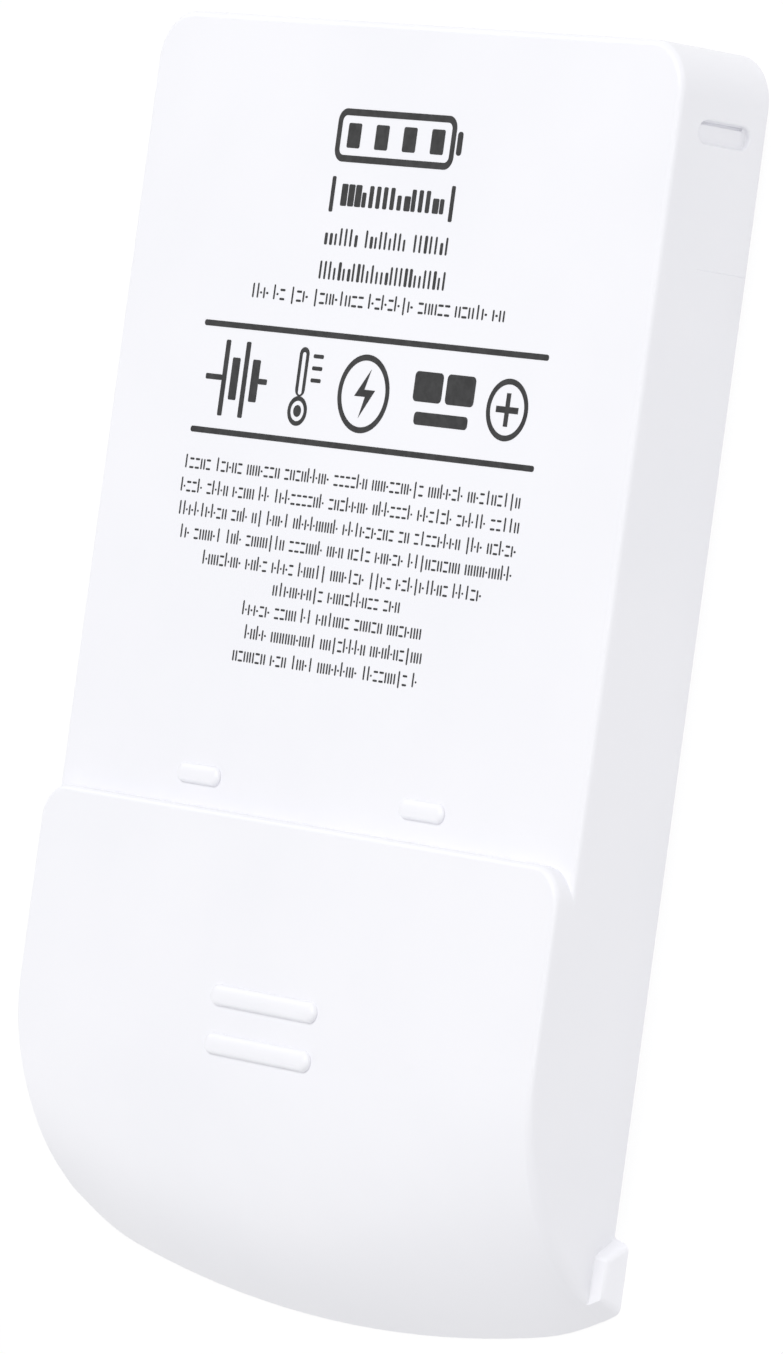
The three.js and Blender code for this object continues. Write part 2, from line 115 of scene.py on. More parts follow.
def boolean(me, tools, op):
    """me with each tool mesh joined or cut, in order. All in mm."""
    o = temp_object(me)
    made = []
    for t in tools:
        to = temp_object(t)
        made.append(to)
        m = o.modifiers.new("b", "BOOLEAN")
        m.operation = op
        m.solver = "MANIFOLD"
        m.object = to
        to.hide_render = True
    dg = bpy.context.evaluated_depsgraph_get()
    out = bpy.data.meshes.new_from_object(o.evaluated_get(dg))
    for x in [o, *made]:
        bpy.data.objects.remove(x, do_unlink=True)
    return out


def arc(cx, cy, r, a, b, n):
    return [(cx + r * math.cos(a + (b - a) * i / n), cy + r * math.sin(a + (b - a) * i / n)) for i in range(n + 1)]


def round_rect(x0, x1, y0, y1, r, n=8):
    q = math.pi / 2
    r = max(r, 1e-3)
    return (arc(x1 - r, y0 + r, r, -q, 0, n) + arc(x1 - r, y1 - r, r, 0, q, n)
            + arc(x0 + r, y1 - r, r, q, 2 * q, n) + arc(x0 + r, y0 + r, r, 2 * q, 3 * q, n))


def bowed(half_w, y_top, top_r, y_side, sag, end_r, n=40, nc=10, ne=6):
    R = (half_w * half_w + sag * sag) / (2 * sag)
    cy = y_side - sag + R
    xc = half_w - end_r
    yc = cy - math.sqrt((R - end_r) ** 2 - xc * xc)
    a1 = math.atan2(yc - cy, xc)
    q = math.pi / 2
    return (arc(0, cy, R, -math.pi - a1, a1, n) + arc(xc, yc, end_r, a1, 0, ne)[1:]
            + arc(half_w - top_r, y_top - top_r, top_r, 0, q, nc)
            + arc(-half_w + top_r, y_top - top_r, top_r, q, 2 * q, nc)
            + arc(-xc, yc, end_r, math.pi, math.pi - a1, ne)[:-1])


def at(pts, z):
    return [(x, y, z) for x, y in pts]


def roll_y(z, inset=0.0):
    r = R_ROLL - inset
    h = z - ZC
    return YC - math.sqrt(max(0.0, r * r - h * h))


def finish_mesh(name, me, angle=30.0, weighted=True):
    """mm mesh -> object in metres, smooth with sharp creases, weighted normals."""
    bm = bmesh.new()
    bm.from_mesh(me)
    bmesh.ops.remove_doubles(bm, verts=bm.verts, dist=1e-4)
    bmesh.ops.dissolve_degenerate(bm, edges=bm.edges, dist=1e-4)
    for f in bm.faces:
        f.smooth = True
    lim = math.radians(angle)
    for e in bm.edges:
        if len(e.link_faces) == 2:
            e.smooth = e.calc_face_angle(0) < lim
    bmesh.ops.translate(bm, vec=(SHIFT, 0, 0), verts=bm.verts)
    bmesh.ops.scale(bm, vec=(MM, MM, MM), verts=bm.verts)
    out = bpy.data.meshes.new(name)
    bm.to_mesh(out)
    bm.free()
    o = bpy.data.objects.new(name, out)
    bpy.context.scene.collection.objects.link(o)
    if weighted:
        m = o.modifiers.new("normals", "WEIGHTED_NORMAL")
        m.mode = "FACE_AREA"
        m.weight = 50
        m.keep_sharp = True
    return o


# ------------------------------------------------------------------ materials
def new_mat(name):
    m = bpy.data.materials.new(name)
    m.use_nodes = True
    nt = m.node_tree
    for n in list(nt.nodes):
        if n.type != "OUTPUT_MATERIAL" and n.type != "BSDF_PRINCIPLED":
            nt.nodes.remove(n)
    return m, nt, next(n for n in nt.nodes if n.type == "BSDF_PRINCIPLED")


def lin(c):
    return tuple(v / 12.92 if v <= 0.04045 else ((v + 0.055) / 1.055) ** 2.4 for v in c)


def mottled(name, dark, light, scale, rough=(0.4, 0.5), rough_scale=300.0, bump_scale=None, bump_dist=0.00001,
            bump_strength=0.3, metallic=0.0, detail=4.0, stretch=None, ior=None, specular=None):
    """Two-tone noise colour, noise roughness and noise bump on a Principled shader."""
    m, nt, b = new_mat(name)
    L = nt.links.new
    tc = nt.nodes.new("ShaderNodeTexCoord")
    src = tc.outputs["Object"]
    if stretch:
        mp = nt.nodes.new("ShaderNodeMapping")
        mp.inputs["Scale"].default_value = stretch
        L(src, mp.inputs["Vector"])
        src = mp.outputs["Vector"]
    n1 = nt.nodes.new("ShaderNodeTexNoise")
    n1.inputs["Scale"].default_value = scale
    n1.inputs["Detail"].default_value = detail
    L(src, n1.inputs["Vector"])
    r1 = nt.nodes.new("ShaderNodeValToRGB")
    r1.color_ramp.elements[0].position = 0.35
    r1.color_ramp.elements[1].position = 0.65
    r1.color_ramp.elements[0].color = (*dark, 1)
    r1.color_ramp.elements[1].color = (*light, 1)
    L(n1.outputs["Fac"], r1.inputs["Fac"])
    L(r1.outputs["Color"], b.inputs["Base Color"])
    n2 = nt.nodes.new("ShaderNodeTexNoise")
    n2.inputs["Scale"].default_value = rough_scale
    n2.inputs["Detail"].default_value = 3.0
    L(src, n2.inputs["Vector"])
    mr = nt.nodes.new("ShaderNodeMapRange")
    mr.inputs["From Min"].default_value = 0.3
    mr.inputs["From Max"].default_value = 0.7
    mr.inputs["To Min"].default_value = rough[0]
    mr.inputs["To Max"].default_value = rough[1]
    L(n2.outputs["Fac"], mr.inputs["Value"])
    L(mr.outputs["Result"], b.inputs["Roughness"])
    if bump_scale:
        n3 = nt.nodes.new("ShaderNodeTexNoise")
        n3.inputs["Scale"].default_value = bump_scale
        n3.inputs["Detail"].default_value = 2.0
        L(src, n3.inputs["Vector"])
        bp = nt.nodes.new("ShaderNodeBump")
        bp.inputs["Strength"].default_value = bump_strength
        bp.inputs["Distance"].default_value = bump_dist
        L(n3.outputs["Fac"], bp.inputs["Height"])
        L(bp.outputs["Normal"], b.inputs["Normal"])
    b.inputs["Metallic"].default_value = metallic
    if ior:
        b.inputs["IOR"].default_value = ior
    if specular is not None:
        b.inputs["Specular IOR Level"].default_value = specular
    return m


MAT = {}
MAT["housing"] = mottled("housing_white", lin((0.952, 0.953, 0.972)), lin((0.962, 0.962, 0.980)), 60.0,
                         rough=(0.36, 0.45), rough_scale=2600.0, bump_scale=5200.0, bump_dist=0.000003,
                         bump_strength=0.2, ior=1.5)
MAT["cover"] = mottled("cover_white", lin((0.945, 0.946, 0.966)), lin((0.957, 0.957, 0.975)), 70.0,
                       rough=(0.42, 0.54), rough_scale=2400.0, bump_scale=5000.0, bump_dist=0.000007,
                       bump_strength=0.3, ior=1.5)
MAT["ink"] = mottled("print_ink", lin((0.14, 0.14, 0.145)), lin((0.20, 0.20, 0.205)), 1800.0,
                     rough=(0.35, 0.5), rough_scale=3000.0, bump_scale=7000.0, bump_dist=0.000002, bump_strength=0.2)


MAT["pouch"] = mottled("pouch_foil", lin((0.60, 0.61, 0.63)), lin((0.68, 0.69, 0.71)), 140.0, rough=(0.28, 0.42), rough_scale=420.0,
                       bump_scale=260.0, bump_dist=0.00005, bump_strength=0.35, metallic=0.85, stretch=(1.0, 0.35, 1.0))
MAT["film"] = mottled("sealant_film", lin((0.10, 0.10, 0.11)), lin((0.17, 0.17, 0.18)), 900.0, rough=(0.25, 0.4), rough_scale=1500.0,
                      bump_scale=1800.0, bump_dist=0.00001, bump_strength=0.3)
MAT["nickel"] = mottled("nickel_strip", lin((0.70, 0.68, 0.63)), lin((0.80, 0.78, 0.73)), 700.0, rough=(0.24, 0.38), rough_scale=900.0,
                        bump_scale=2500.0, bump_dist=0.000006, bump_strength=0.4, metallic=1.0, stretch=(0.15, 1.0, 1.0))
MAT["aluminium"] = mottled("aluminium_tab", lin((0.82, 0.83, 0.85)), lin((0.90, 0.91, 0.92)), 700.0, rough=(0.25, 0.4), rough_scale=900.0,
                           bump_scale=2500.0, bump_dist=0.000006, bump_strength=0.4, metallic=1.0, stretch=(1.0, 0.15, 1.0))
MAT["gold"] = mottled("gold_plate", lin((0.86, 0.68, 0.34)), lin((0.95, 0.78, 0.44)), 900.0, rough=(0.18, 0.32), rough_scale=2200.0,
                      bump_scale=3500.0, bump_dist=0.000004, bump_strength=0.3, metallic=1.0)
MAT["tape"] = mottled("amber_tape", lin((0.66, 0.38, 0.10)), lin((0.78, 0.49, 0.16)), 220.0, rough=(0.18, 0.34), rough_scale=500.0,
                      bump_scale=300.0, bump_dist=0.00003, bump_strength=0.3)
MAT["adhesive"] = mottled("adhesive_tape", lin((0.90, 0.88, 0.83)), lin((0.93, 0.91, 0.86)), 900.0, rough=(0.6, 0.85), rough_scale=900.0,
                          bump_scale=1600.0, bump_dist=0.00002, bump_strength=0.4)
MAT["foam"] = mottled("closed_cell_foam", lin((0.20, 0.20, 0.21)), lin((0.31, 0.31, 0.33)), 2600.0, rough=(0.85, 0.97), rough_scale=1800.0,
                      bump_scale=2400.0, bump_dist=0.00006, bump_strength=0.8)
MAT["chip"] = mottled("moulding_compound", lin((0.10, 0.10, 0.105)), lin((0.16, 0.16, 0.165)), 2500.0, rough=(0.45, 0.65), rough_scale=3000.0,
                      bump_scale=5000.0, bump_dist=0.000008, bump_strength=0.4)
SMD = {"chip_body": ((0.10, 0.10, 0.105), (0.16, 0.16, 0.165)), "tan": ((0.62, 0.50, 0.36), (0.70, 0.58, 0.43)),
       "olive": ((0.32, 0.37, 0.27), (0.40, 0.45, 0.34))}


def plated(name, tones, axis, centre, half):
    """Body material with tinned metal beyond +-half about the centre along one axis (row frame, metres)."""
    m = mottled(name, lin(tones[0]), lin(tones[1]), 2500.0, rough=(0.42, 0.6), rough_scale=3000.0, bump_scale=5000.0,
                bump_dist=0.000006, bump_strength=0.35)
    nt = m.node_tree
    b = next(n for n in nt.nodes if n.type == "BSDF_PRINCIPLED")
    tc = next(n for n in nt.nodes if n.type == "TEX_COORD")
    sep = nt.nodes.new("ShaderNodeSeparateXYZ")
    nt.links.new(tc.outputs["Object"], sep.inputs[0])
    sub = nt.nodes.new("ShaderNodeMath")
    sub.operation = "SUBTRACT"
    sub.inputs[1].default_value = centre
    nt.links.new(sep.outputs[axis], sub.inputs[0])
    ab = nt.nodes.new("ShaderNodeMath")
    ab.operation = "ABSOLUTE"
    nt.links.new(sub.outputs[0], ab.inputs[0])
    gt = nt.nodes.new("ShaderNodeMath")
    gt.operation = "GREATER_THAN"
    gt.inputs[1].default_value = half
    nt.links.new(ab.outputs[0], gt.inputs[0])
    nt.links.new(gt.outputs[0], b.inputs["Metallic"])
    tin = nt.nodes.new("ShaderNodeTexNoise")
    tin.inputs["Scale"].default_value = 1500.0
    nt.links.new(tc.outputs["Object"], tin.inputs["Vector"])
    ramp = nt.nodes.new("ShaderNodeValToRGB")
    ramp.color_ramp.elements[0].color = (*lin((0.74, 0.74, 0.76)), 1)
    ramp.color_ramp.elements[1].color = (*lin((0.86, 0.86, 0.87)), 1)
    nt.links.new(tin.outputs["Fac"], ramp.inputs["Fac"])
    body_col = b.inputs["Base Color"].links[0].from_socket
    mix = nt.nodes.new("ShaderNodeMix")
    mix.data_type = "RGBA"
    nt.links.new(gt.outputs[0], mix.inputs[0])
    nt.links.new(body_col, mix.inputs[6])
    nt.links.new(ramp.outputs["Color"], mix.inputs[7])
    nt.links.new(mix.outputs[2], b.inputs["Base Color"])
    return m


MAT["chip_x"] = plated("mosfet_body", SMD["chip_body"], 0, (4.6 + SHIFT) * MM, (4.4 / 2 - 0.5) * MM)
MAT["chip_z"] = plated("protection_chip_body", SMD["chip_body"], 2, 4.1 * MM, (1.7 / 2 - 0.34) * MM)
MAT["sense"] = plated("sense_body", SMD["chip_body"], 2, 4.1 * MM, (3.0 / 2 - 0.55) * MM)


def end_capped(name, tone, cx, w):
    MAT[name] = plated(name, SMD[tone], 0, (cx + SHIFT) * MM, (w / 2 - w * 0.24) * MM)
    return name


def board_material():
    """Green solder mask over copper: lighter flooded areas and thin track edges, from a square-cell Voronoi pattern."""
    m = mottled("solder_mask", lin((0.05, 0.26, 0.13)), lin((0.08, 0.33, 0.17)), 300.0, rough=(0.25, 0.4), rough_scale=1200.0,
                bump_scale=1500.0, bump_dist=0.000006, bump_strength=0.3)
    nt = m.node_tree
    b = next(n for n in nt.nodes if n.type == "BSDF_PRINCIPLED")
    tc = next(n for n in nt.nodes if n.type == "TEX_COORD")
    vor = nt.nodes.new("ShaderNodeTexVoronoi")
    vor.distance = "CHEBYCHEV"
    vor.feature = "F1"
    vor.inputs["Scale"].default_value = 420.0
    vor.inputs["Randomness"].default_value = 0.7
    nt.links.new(tc.outputs["Object"], vor.inputs["Vector"])
    ramp = nt.nodes.new("ShaderNodeValToRGB")
    ramp.color_ramp.interpolation = "CONSTANT"
    ramp.color_ramp.elements[0].color = (1, 1, 1, 1)
    ramp.color_ramp.elements[1].position = 0.46
    ramp.color_ramp.elements[1].color = (0, 0, 0, 1)
    nt.links.new(vor.outputs["Distance"], ramp.inputs["Fac"])
    base = b.inputs["Base Color"].links[0].from_socket
    mix = nt.nodes.new("ShaderNodeMix")
    mix.data_type = "RGBA"
    mix.inputs[6].default_value = (*lin((0.04, 0.19, 0.10)), 1)
    nt.links.new(ramp.outputs["Color"], mix.inputs[0])
    nt.links.new(base, mix.inputs[7])
    nt.links.new(mix.outputs[2], b.inputs["Base Color"])
    return m


MAT["board"] = board_material()


def dress(o, mat):
    o.data.materials.clear()
    o.data.materials.append(MAT[mat])
    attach(o, "root")
    return o


# ------------------------------------------------------------------ front housing
R_SIDE0 = 0.45     # edge radius along the raised end's flat part
R_SIDE1 = 0.8     # edge radius down the roll
R_STEP = 0.45
R_BACK = 0.07
R_SLAB = 0.5
CORNER = 2.6


def side_x(y, z):
    """Half width of the raised end at (y, z), with its variable side-edge radius; y before the bow."""
    if y >= YC:
        h = CAP_T - z
        r = R_SIDE0
    else:
        h = R_ROLL - math.hypot(y - YC, z - ZC)
        phi = math.degrees(math.atan2(YC - y, z - ZC))
        r = R_SIDE0 + (R_SIDE1 - R_SIDE0) * smooth(6.0, 34.0, phi)
        r -= (r - 0.25) * smooth(3.6, 1.4, z)
    if h >= r:
        return HALF_W
    h = max(h, 0.0)
    return HALF_W - r + math.sqrt(max(0.0, r * r - (r - h) ** 2))


def cap_ring(z, back=0.0):
    """Outline of the raised end at height z. back is the inset of the back edge."""
    d = 0.035 * smooth(CAP_T - R_STEP, SLAB_T, z) if z <= CAP_T - R_STEP else 1.05 * (R_STEP - math.sqrt(max(0.0, R_STEP ** 2 - (z - CAP_T + R_STEP) ** 2)))
    d0 = HALF_W - side_x(YC + 1, z)
    y_top = STEP_Y - d
    hw = HALF_W - d0
    # step corner, from the side wall to the step face
    cr = CORNER
    ring = []
    q = math.pi / 2
    corner = []
    for i in range(17):
        a = q * i / 16
        cx, cy = hw - cr + d0 * 0, STEP_Y - cr
        # inset by d0 at the side, by d at the step
        ins = d0 * math.cos(a) ** 2 + d * math.sin(a) ** 2
        x = (HALF_W - cr) + (cr - ins) * math.cos(a)
        y = cy + (cr - ins) * math.sin(a)
        corner.append((x, y))
    # straight side down to the tangent, then the fillet round to the end
    yr = roll_y(z)
    side = [(hw, STEP_Y - cr - (STEP_Y - cr - YC) * t / 6.0) for t in range(6)]
    fil = []
    N = 30
    for i in range(N + 1):
        u = i / N
        # dense near the end
        y = YC + (yr - YC) * (1 - (1 - u) ** 2.6)
        fil.append((side_x(y, z), y))
    if back > 0:
        side = [(x - back, y) for x, y in side]
        fil = [(x - back, y + back * (i / N) ** 3) for i, (x, y) in enumerate(fil)]
        corner = [(x - back * math.cos(q * i / 16), y) for i, (x, y) in enumerate(corner)]
    xe, ye = fil[-1]
    M = 34
    end = []
    for i in range(1, M):
        a = math.pi * i / M
        end.append((xe * math.cos(a), ye))
    right = side + fil                      # going down on the right
    left = [(-x, y) for x, y in right][::-1]  # going up on the left
    pts = right + end + left
    # bow applied to everything near the end
    out = []
    for x, y in pts:
        w = smooth(YC + 6.0, YC - 1.0, y) if y > YC - 1.0 else 1.0
        out.append((x, y - bow(min(abs(x), HALF_W), z) * w if y < YC - 1e-6 else y))
    lc = [(-x, y) for x, y in corner]
    ring = out + lc + corner[::-1]
    return at(ring, z)


levels = []
phis = [0, 2.2, 3.4, 4.8, 6.2, 7.6, 9.0, 10.6, 12.2, 14.0] + [14.0 + 1.55 * i for i in range(1, 29)]
zs = sorted({round(ZC + R_ROLL * math.cos(math.radians(p)), 4) for p in phis if ZC + R_ROLL * math.cos(math.radians(p)) > R_BACK + 0.03})
back_levels = [(R_BACK * (1 - math.cos(math.pi / 2 * i / 5)), R_BACK * (1 - math.sin(math.pi / 2 * i / 5))) for i in range(6)]
rings = []
for z, ins in back_levels:
    rings.append(cap_ring(z, back=ins))
for z in zs:
    if z <= R_BACK:
        continue
    rings.append(cap_ring(z))
# extra levels round the top of the step
for i in range(1, 9):
    rings.append(cap_ring(CAP_T - R_STEP + R_STEP * math.sin(math.pi / 2 * i / 9)))
rings.sort(key=lambda r: r[0][2])
uniq = []
for r in rings:
    if not uniq or r[0][2] - uniq[-1][0][2] > 0.004:
        uniq.append(r)
cap = loft("cap", uniq)


def slab_ring(z, d):
    r = 3.6
    q = math.pi / 2
    n = 16
    right = [(HALF_W - d, STEP_Y - 2.7), (HALF_W - d, STEP_Y + 6), (HALF_W - d, STEP_Y + 26)]
    left = [(-x, y) for x, y in right][::-1]
    return at([(HALF_W - 0.7, STEP_Y - 3.4), *right, *arc(HALF_W - r, TOP_Y - r, r - d, 0, q, n),
               *arc(-HALF_W + r, TOP_Y - r, r - d, q, 2 * q, n), *left, (-HALF_W + 0.7, STEP_Y - 3.4)], z)


rings = [slab_ring(R_BACK * (1 - math.cos(math.pi / 2 * i / 5)), R_BACK * (1 - math.sin(math.pi / 2 * i / 5))) for i in range(6)]
for i in range(11):
    a = math.pi / 2 * i / 10
    rings.append(slab_ring(SLAB_T - R_SLAB + R_SLAB * math.sin(a), R_SLAB * (1 - math.cos(a))))
slab = loft("slab", rings)


def raised_bar(cx, cy, w, h, z, t, rx, rz, foot=0.03, lean=0.0):
    """Bar with rounded ends on height z. Its top is rounded off over rx sideways and rz in height, more on the contact-end side by lean."""
    def o(d, c=0.0):
        return round_rect(cx - w / 2 + d, cx + w / 2 - d, cy - h / 2 + d - c, cy + h / 2 - d - c, h / 2 - d - 1e-3, 12)
    z1 = z + t - rz
    rr = [at(o(foot), z - 0.3), at(o(foot), z), at(o(0.0), z1)]
    for i in range(1, 13):
        a = math.pi / 2 * i / 12
        rr.append(at(o(rx * (1 - math.cos(a)), lean * (1 - math.cos(a))), z1 + (z + t - z1) * math.sin(a)))
    return loft("bar", rr)


nubs = [raised_bar(x, TOP_Y - 53.8, 4.7, 1.42, SLAB_T, 0.4, 0.58, 0.34, 0.02, 0.18) for x in (-12.4, 11.8)]
ridges = [raised_bar(-0.45, TOP_Y - y, 11.45, 1.5, CAP_T, 0.45, 0.68, 0.4, 0.02, 0.22) for y in (68.7, 72.1)]

TO_X = Matrix(((0, 0, 1, 0), (1, 0, 0, 0), (0, 1, 0, 0), (0, 0, 0, 1)))      # (y, z, x) -> (x, y, z)
TO_XN = Matrix(((0, 0, -1, 0), (1, 0, 0, 0), (0, 1, 0, 0), (0, 0, 0, 1)))    # same on the -X side


LUG_PROUD, LUG_Y0, LUG_Y1, LUG_H, LUG_R, LUG_LEAN = 1.5, TOP_Y - 80.45, TOP_Y - 81.8, 1.62, 0.4, 0.24


def lug_mesh():
    """Locating lug: a ramp at its front, flanks that lean in, its end following the rounded end of the pack."""
    def ring(x, d):
        u = max(0.0, x - (HALF_W + LUG_PROUD - LUG_R))
        e = LUG_R - math.sqrt(max(0.0, LUG_R ** 2 - u * u))
        if x < HALF_W:
            e = 0.004 + 0.3 * max(0.0, HALF_W - 0.3 - x) ** 2
        top = LUG_H - d
        n = Vector((LUG_H, -(LUG_Y1 - LUG_Y0))).normalized()
        foot, head = Vector((LUG_Y0, 0.0)) - n * d, Vector((LUG_Y1, LUG_H)) - n * d
        corner = foot.lerp(head, (top - foot.y) / (head.y - foot.y))
        start = foot.lerp(head, (0.0 - foot.y) / (head.y - foot.y))
        pts = [(start.x, 0.0)]
        r = 0.45
        a0, b0 = (start - corner).normalized(), Vector((-1.0, 0.0))
        ang = a0.angle(b0)
        tl = r / math.tan(ang / 2)
        c = corner + (a0 + b0).normalized() * (r / math.sin(ang / 2))
        s0, s1 = corner + a0 * tl, corner + b0 * tl
        A, B = math.atan2(s0.y - c.y, s0.x - c.x), math.atan2(s1.y - c.y, s1.x - c.x)
        D = (B - A + math.pi) % (2 * math.pi) - math.pi
        pts += [(c.x + r * math.cos(A + D * k / 6), c.y + r * math.sin(A + D * k / 6)) for k in range(7)]
        K = 9
        for k in range(K + 1):
            z = top * (1 - k / K)
            pts.append((roll_y(z) - bow(x, z) + e, z))
        return [(y, z, x) for y, z in pts]
    # small fillet at the foot, leaning flank, rounded edge
    f = 0.06
    prof = [(-0.9, -f), (-0.02, -f)]
    prof += [(f * (1 - math.cos(math.pi / 2 * i / 3)), -f * (1 - math.sin(math.pi / 2 * i / 3))) for i in range(4)]
    prof += [(0.5, 0.07), (0.9, 0.14)]
    edge = 0.34
    prof += [(LUG_PROUD - edge + edge * math.sin(math.pi / 2 * i / 8), 0.2 + edge * (1 - math.cos(math.pi / 2 * i / 8))) for i in range(9)]
    rings = []
    for h, d in prof:
        # the outer face leans in towards the printed face
        rings.append([(y, z, HALF_W + h * (1 - LUG_LEAN * z) if h > 0 else x) for y, z, x in ring(HALF_W + h, d)])
    return loft("lug", rings, TO_X)


SLOT_Y, SLOT_Z0, SLOT_Z1, SLOT_H = TOP_Y - 5.8, 1.33, 6.02, 1.6
SLOT_D = 0.45


def slot_mesh(side):
    def ring(d, x):
        r = SLOT_H / 2 - d
        q = math.pi
        pts = arc(SLOT_Y, SLOT_Z1 - SLOT_H / 2, r, 0, q, 14) + arc(SLOT_Y, SLOT_Z0 + SLOT_H / 2, r, q, 2 * q, 14)
        return [(y, z, x) for y, z in pts]
    rr = [ring(0.16, HALF_W - SLOT_D)]
    for i in range(1, 5):
        a = math.pi / 2 * i / 4
        rr.append(ring(0.16 * (1 - math.sin(a)), HALF_W - SLOT_D + 0.16 * (1 - math.cos(a))))
    for i in range(0, 5):
        a = math.pi / 2 * i / 4
        rr.append(ring(-0.18 * (1 - math.cos(a)), HALF_W - 0.18 + 0.18 * math.sin(a) + (0.004 if i == 4 else 0)))
    rr.append(ring(-0.18, HALF_W + 0.6))
    return loft("slot", rr, TO_X if side > 0 else TO_XN)


def catch_mesh(side):
    """Deeper catch edge along the slot's contact-end side."""
    def ring(d, x):
        y0, y1 = SLOT_Y + SLOT_H / 2 - 0.31, SLOT_Y + SLOT_H / 2 - 0.09
        z0, z1 = SLOT_Z0 + 0.42, SLOT_Z1 - 0.42
        r = (y1 - y0) / 2 - 1e-3
        return [(y, z, x) for y, z in round_rect(y0 + d, y1 - d, z0 + d, z1 - d, r - d, 5)]
    return loft("catch", [ring(0.05, HALF_W - 0.72), ring(0.0, HALF_W - 0.66), ring(0.0, HALF_W - 0.3)], TO_X if side > 0 else TO_XN)


def witness_mesh(side):
    """Hair-line left by the side slide of the mould."""
    y = TOP_Y - 15.0
    w, dpt = 0.05, 0.035
    rr = [[(y, -0.2, HALF_W - dpt), (y - w, -0.2, HALF_W + 0.01), (y - w, -0.2, HALF_W + 0.3), (y + w, -0.2, HALF_W + 0.3), (y + w, -0.2, HALF_W + 0.01)],
          [(y, 4.55, HALF_W - dpt), (y - w, 4.55, HALF_W + 0.01), (y - w, 4.55, HALF_W + 0.3), (y + w, 4.55, HALF_W + 0.3), (y + w, 4.55, HALF_W + 0.01)]]
    return loft("witness", rr, TO_X if side > 0 else TO_XN)


def window_mesh(x):
    """Contact window, flared at its mouth."""
    def ring(d, y):
        pts = round_rect(x - 1.2 + d, x + 1.2 - d, 4.05 - 1.9 + d, 4.05 + 1.9 - d, 0.3 - d, 5)
        return [(px, y, pz) for px, pz in pts]
    rr = [ring(0, TOP_Y - 1.8), ring(0, TOP_Y - 0.25)]
    for i in range(1, 5):
        a = math.pi / 2 * i / 4
        rr.append(ring(-0.22 * (1 - math.cos(a)), TOP_Y - 0.25 + 0.25 * math.sin(a)))
    rr.append(ring(-0.22, TOP_Y + 0.5))
    return loft("window", rr)


housing = boolean(slab, [cap], "UNION")
housing = boolean(housing, nubs + ridges + [lug_mesh()], "UNION")

cover_hole = [at(bowed(HALF_W - 1.2, TOP_Y - 1.2, 2.8, roll_y(0) + 1.5, SAG - 0.1, 0.9), z) for z in (-1, LEDGE_Z)]
inner = [at(bowed(26.0, TOP_Y - 1.3, 2.2, roll_y(z, CAP_WALL), SAG - 0.15, 0.8), z) for z in (0.75, 1.5, 2.2, 2.9, 3.5, 4.1, 4.7, 5.3, 5.8, 6.2, 6.6, 6.9, FACE_IN)]
pocket = [at(bowed(26.0, STEP_Y - CAP_WALL, 1.2, roll_y(z, CAP_WALL + 0.001), SAG - 0.15, 0.8), z) for z in (FACE_IN - 0.4, FACE_IN, FACE_IN + 0.2, 7.6, 7.8, 8.0, CAP_IN - 0.03)]
CONTACT_X = [k * 4.4 for k in (-1.5, -0.5, 0.5, 1.5)]
cutters = [loft("cover_hole", cover_hole), loft("inner", inner), loft("pocket", pocket),
           slot_mesh(1), slot_mesh(-1), catch_mesh(1), catch_mesh(-1), witness_mesh(1), witness_mesh(-1)] + [window_mesh(x) for x in CONTACT_X]
housing = boolean(housing, cutters, "DIFFERENCE")


def box_mesh(lo, hi):
    return loft("box", [at([(lo[0], lo[1]), (hi[0], lo[1]), (hi[0], hi[1]), (lo[0], hi[1])], z) for z in (lo[2], hi[2])])


CELL_TOP = TOP_Y - 4.6
CELL_END = CELL_TOP - 61.0
BOARD_IN = TOP_Y - 1.72 - 0.8
RIB_Y = CELL_END - 1.35
ribs = []
for s in (-1, 1):
    a, b = s * 23.35, s * 26.55
    ribs.append(box_mesh((min(a, b), BOARD_IN - 0.9, 3.4), (max(a, b), BOARD_IN - 0.1, FACE_IN + 0.2)))
for x in (-18, 0, 18):
    ribs.append(box_mesh((x - 3, RIB_Y - 1.0, 3.6), (x + 3, RIB_Y, CAP_IN + 0.2)))
    ribs.append(box_mesh((x - 0.5, RIB_Y - 7.5, 4.4), (x + 0.5, RIB_Y - 0.5, CAP_IN - 0.2)))
housing = boolean(housing, ribs, "UNION")
shell = finish_mesh("housing_shell", housing, angle=28)
dress(shell, "housing")
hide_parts("front_housing")

# ------------------------------------------------------------------ rear cover
def cover_ring(d, z):
    return at(bowed(HALF_W - 1.35 - d, TOP_Y - 1.35 - d, 2.65 - d, roll_y(0) + 1.65 + d, SAG - 0.1, 0.9 - d), z)


cr = [cover_ring(0.14 * (1 - math.sin(math.pi / 2 * i / 4)), 0.14 * (1 - math.cos(math.pi / 2 * i / 4))) for i in range(5)]
cr.append(cover_ring(0, 0.9))
cover = loft("cover", cr)
cr_ribs = [box_mesh((x - 0.5, RIB_Y - 8.0, 0.7), (x + 0.5, RIB_Y, 5.0)) for x in (-9, 9)]
cr_ribs.append(box_mesh((-21, RIB_Y - 1.0, 0.7), (21, RIB_Y, 3.3)))
cover = boolean(cover, cr_ribs, "UNION")
plate = finish_mesh("rear_cover_plate", cover, angle=28)
dress(plate, "cover")
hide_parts("rear_cover")

# ------------------------------------------------------------------ inner pieces
TO_Y = Matrix(((1, 0, 0, 0), (0, 0, 1, 0), (0, 1, 0, 0), (0, 0, 0, 1)))      # (x, z, y) -> (x, y, z)


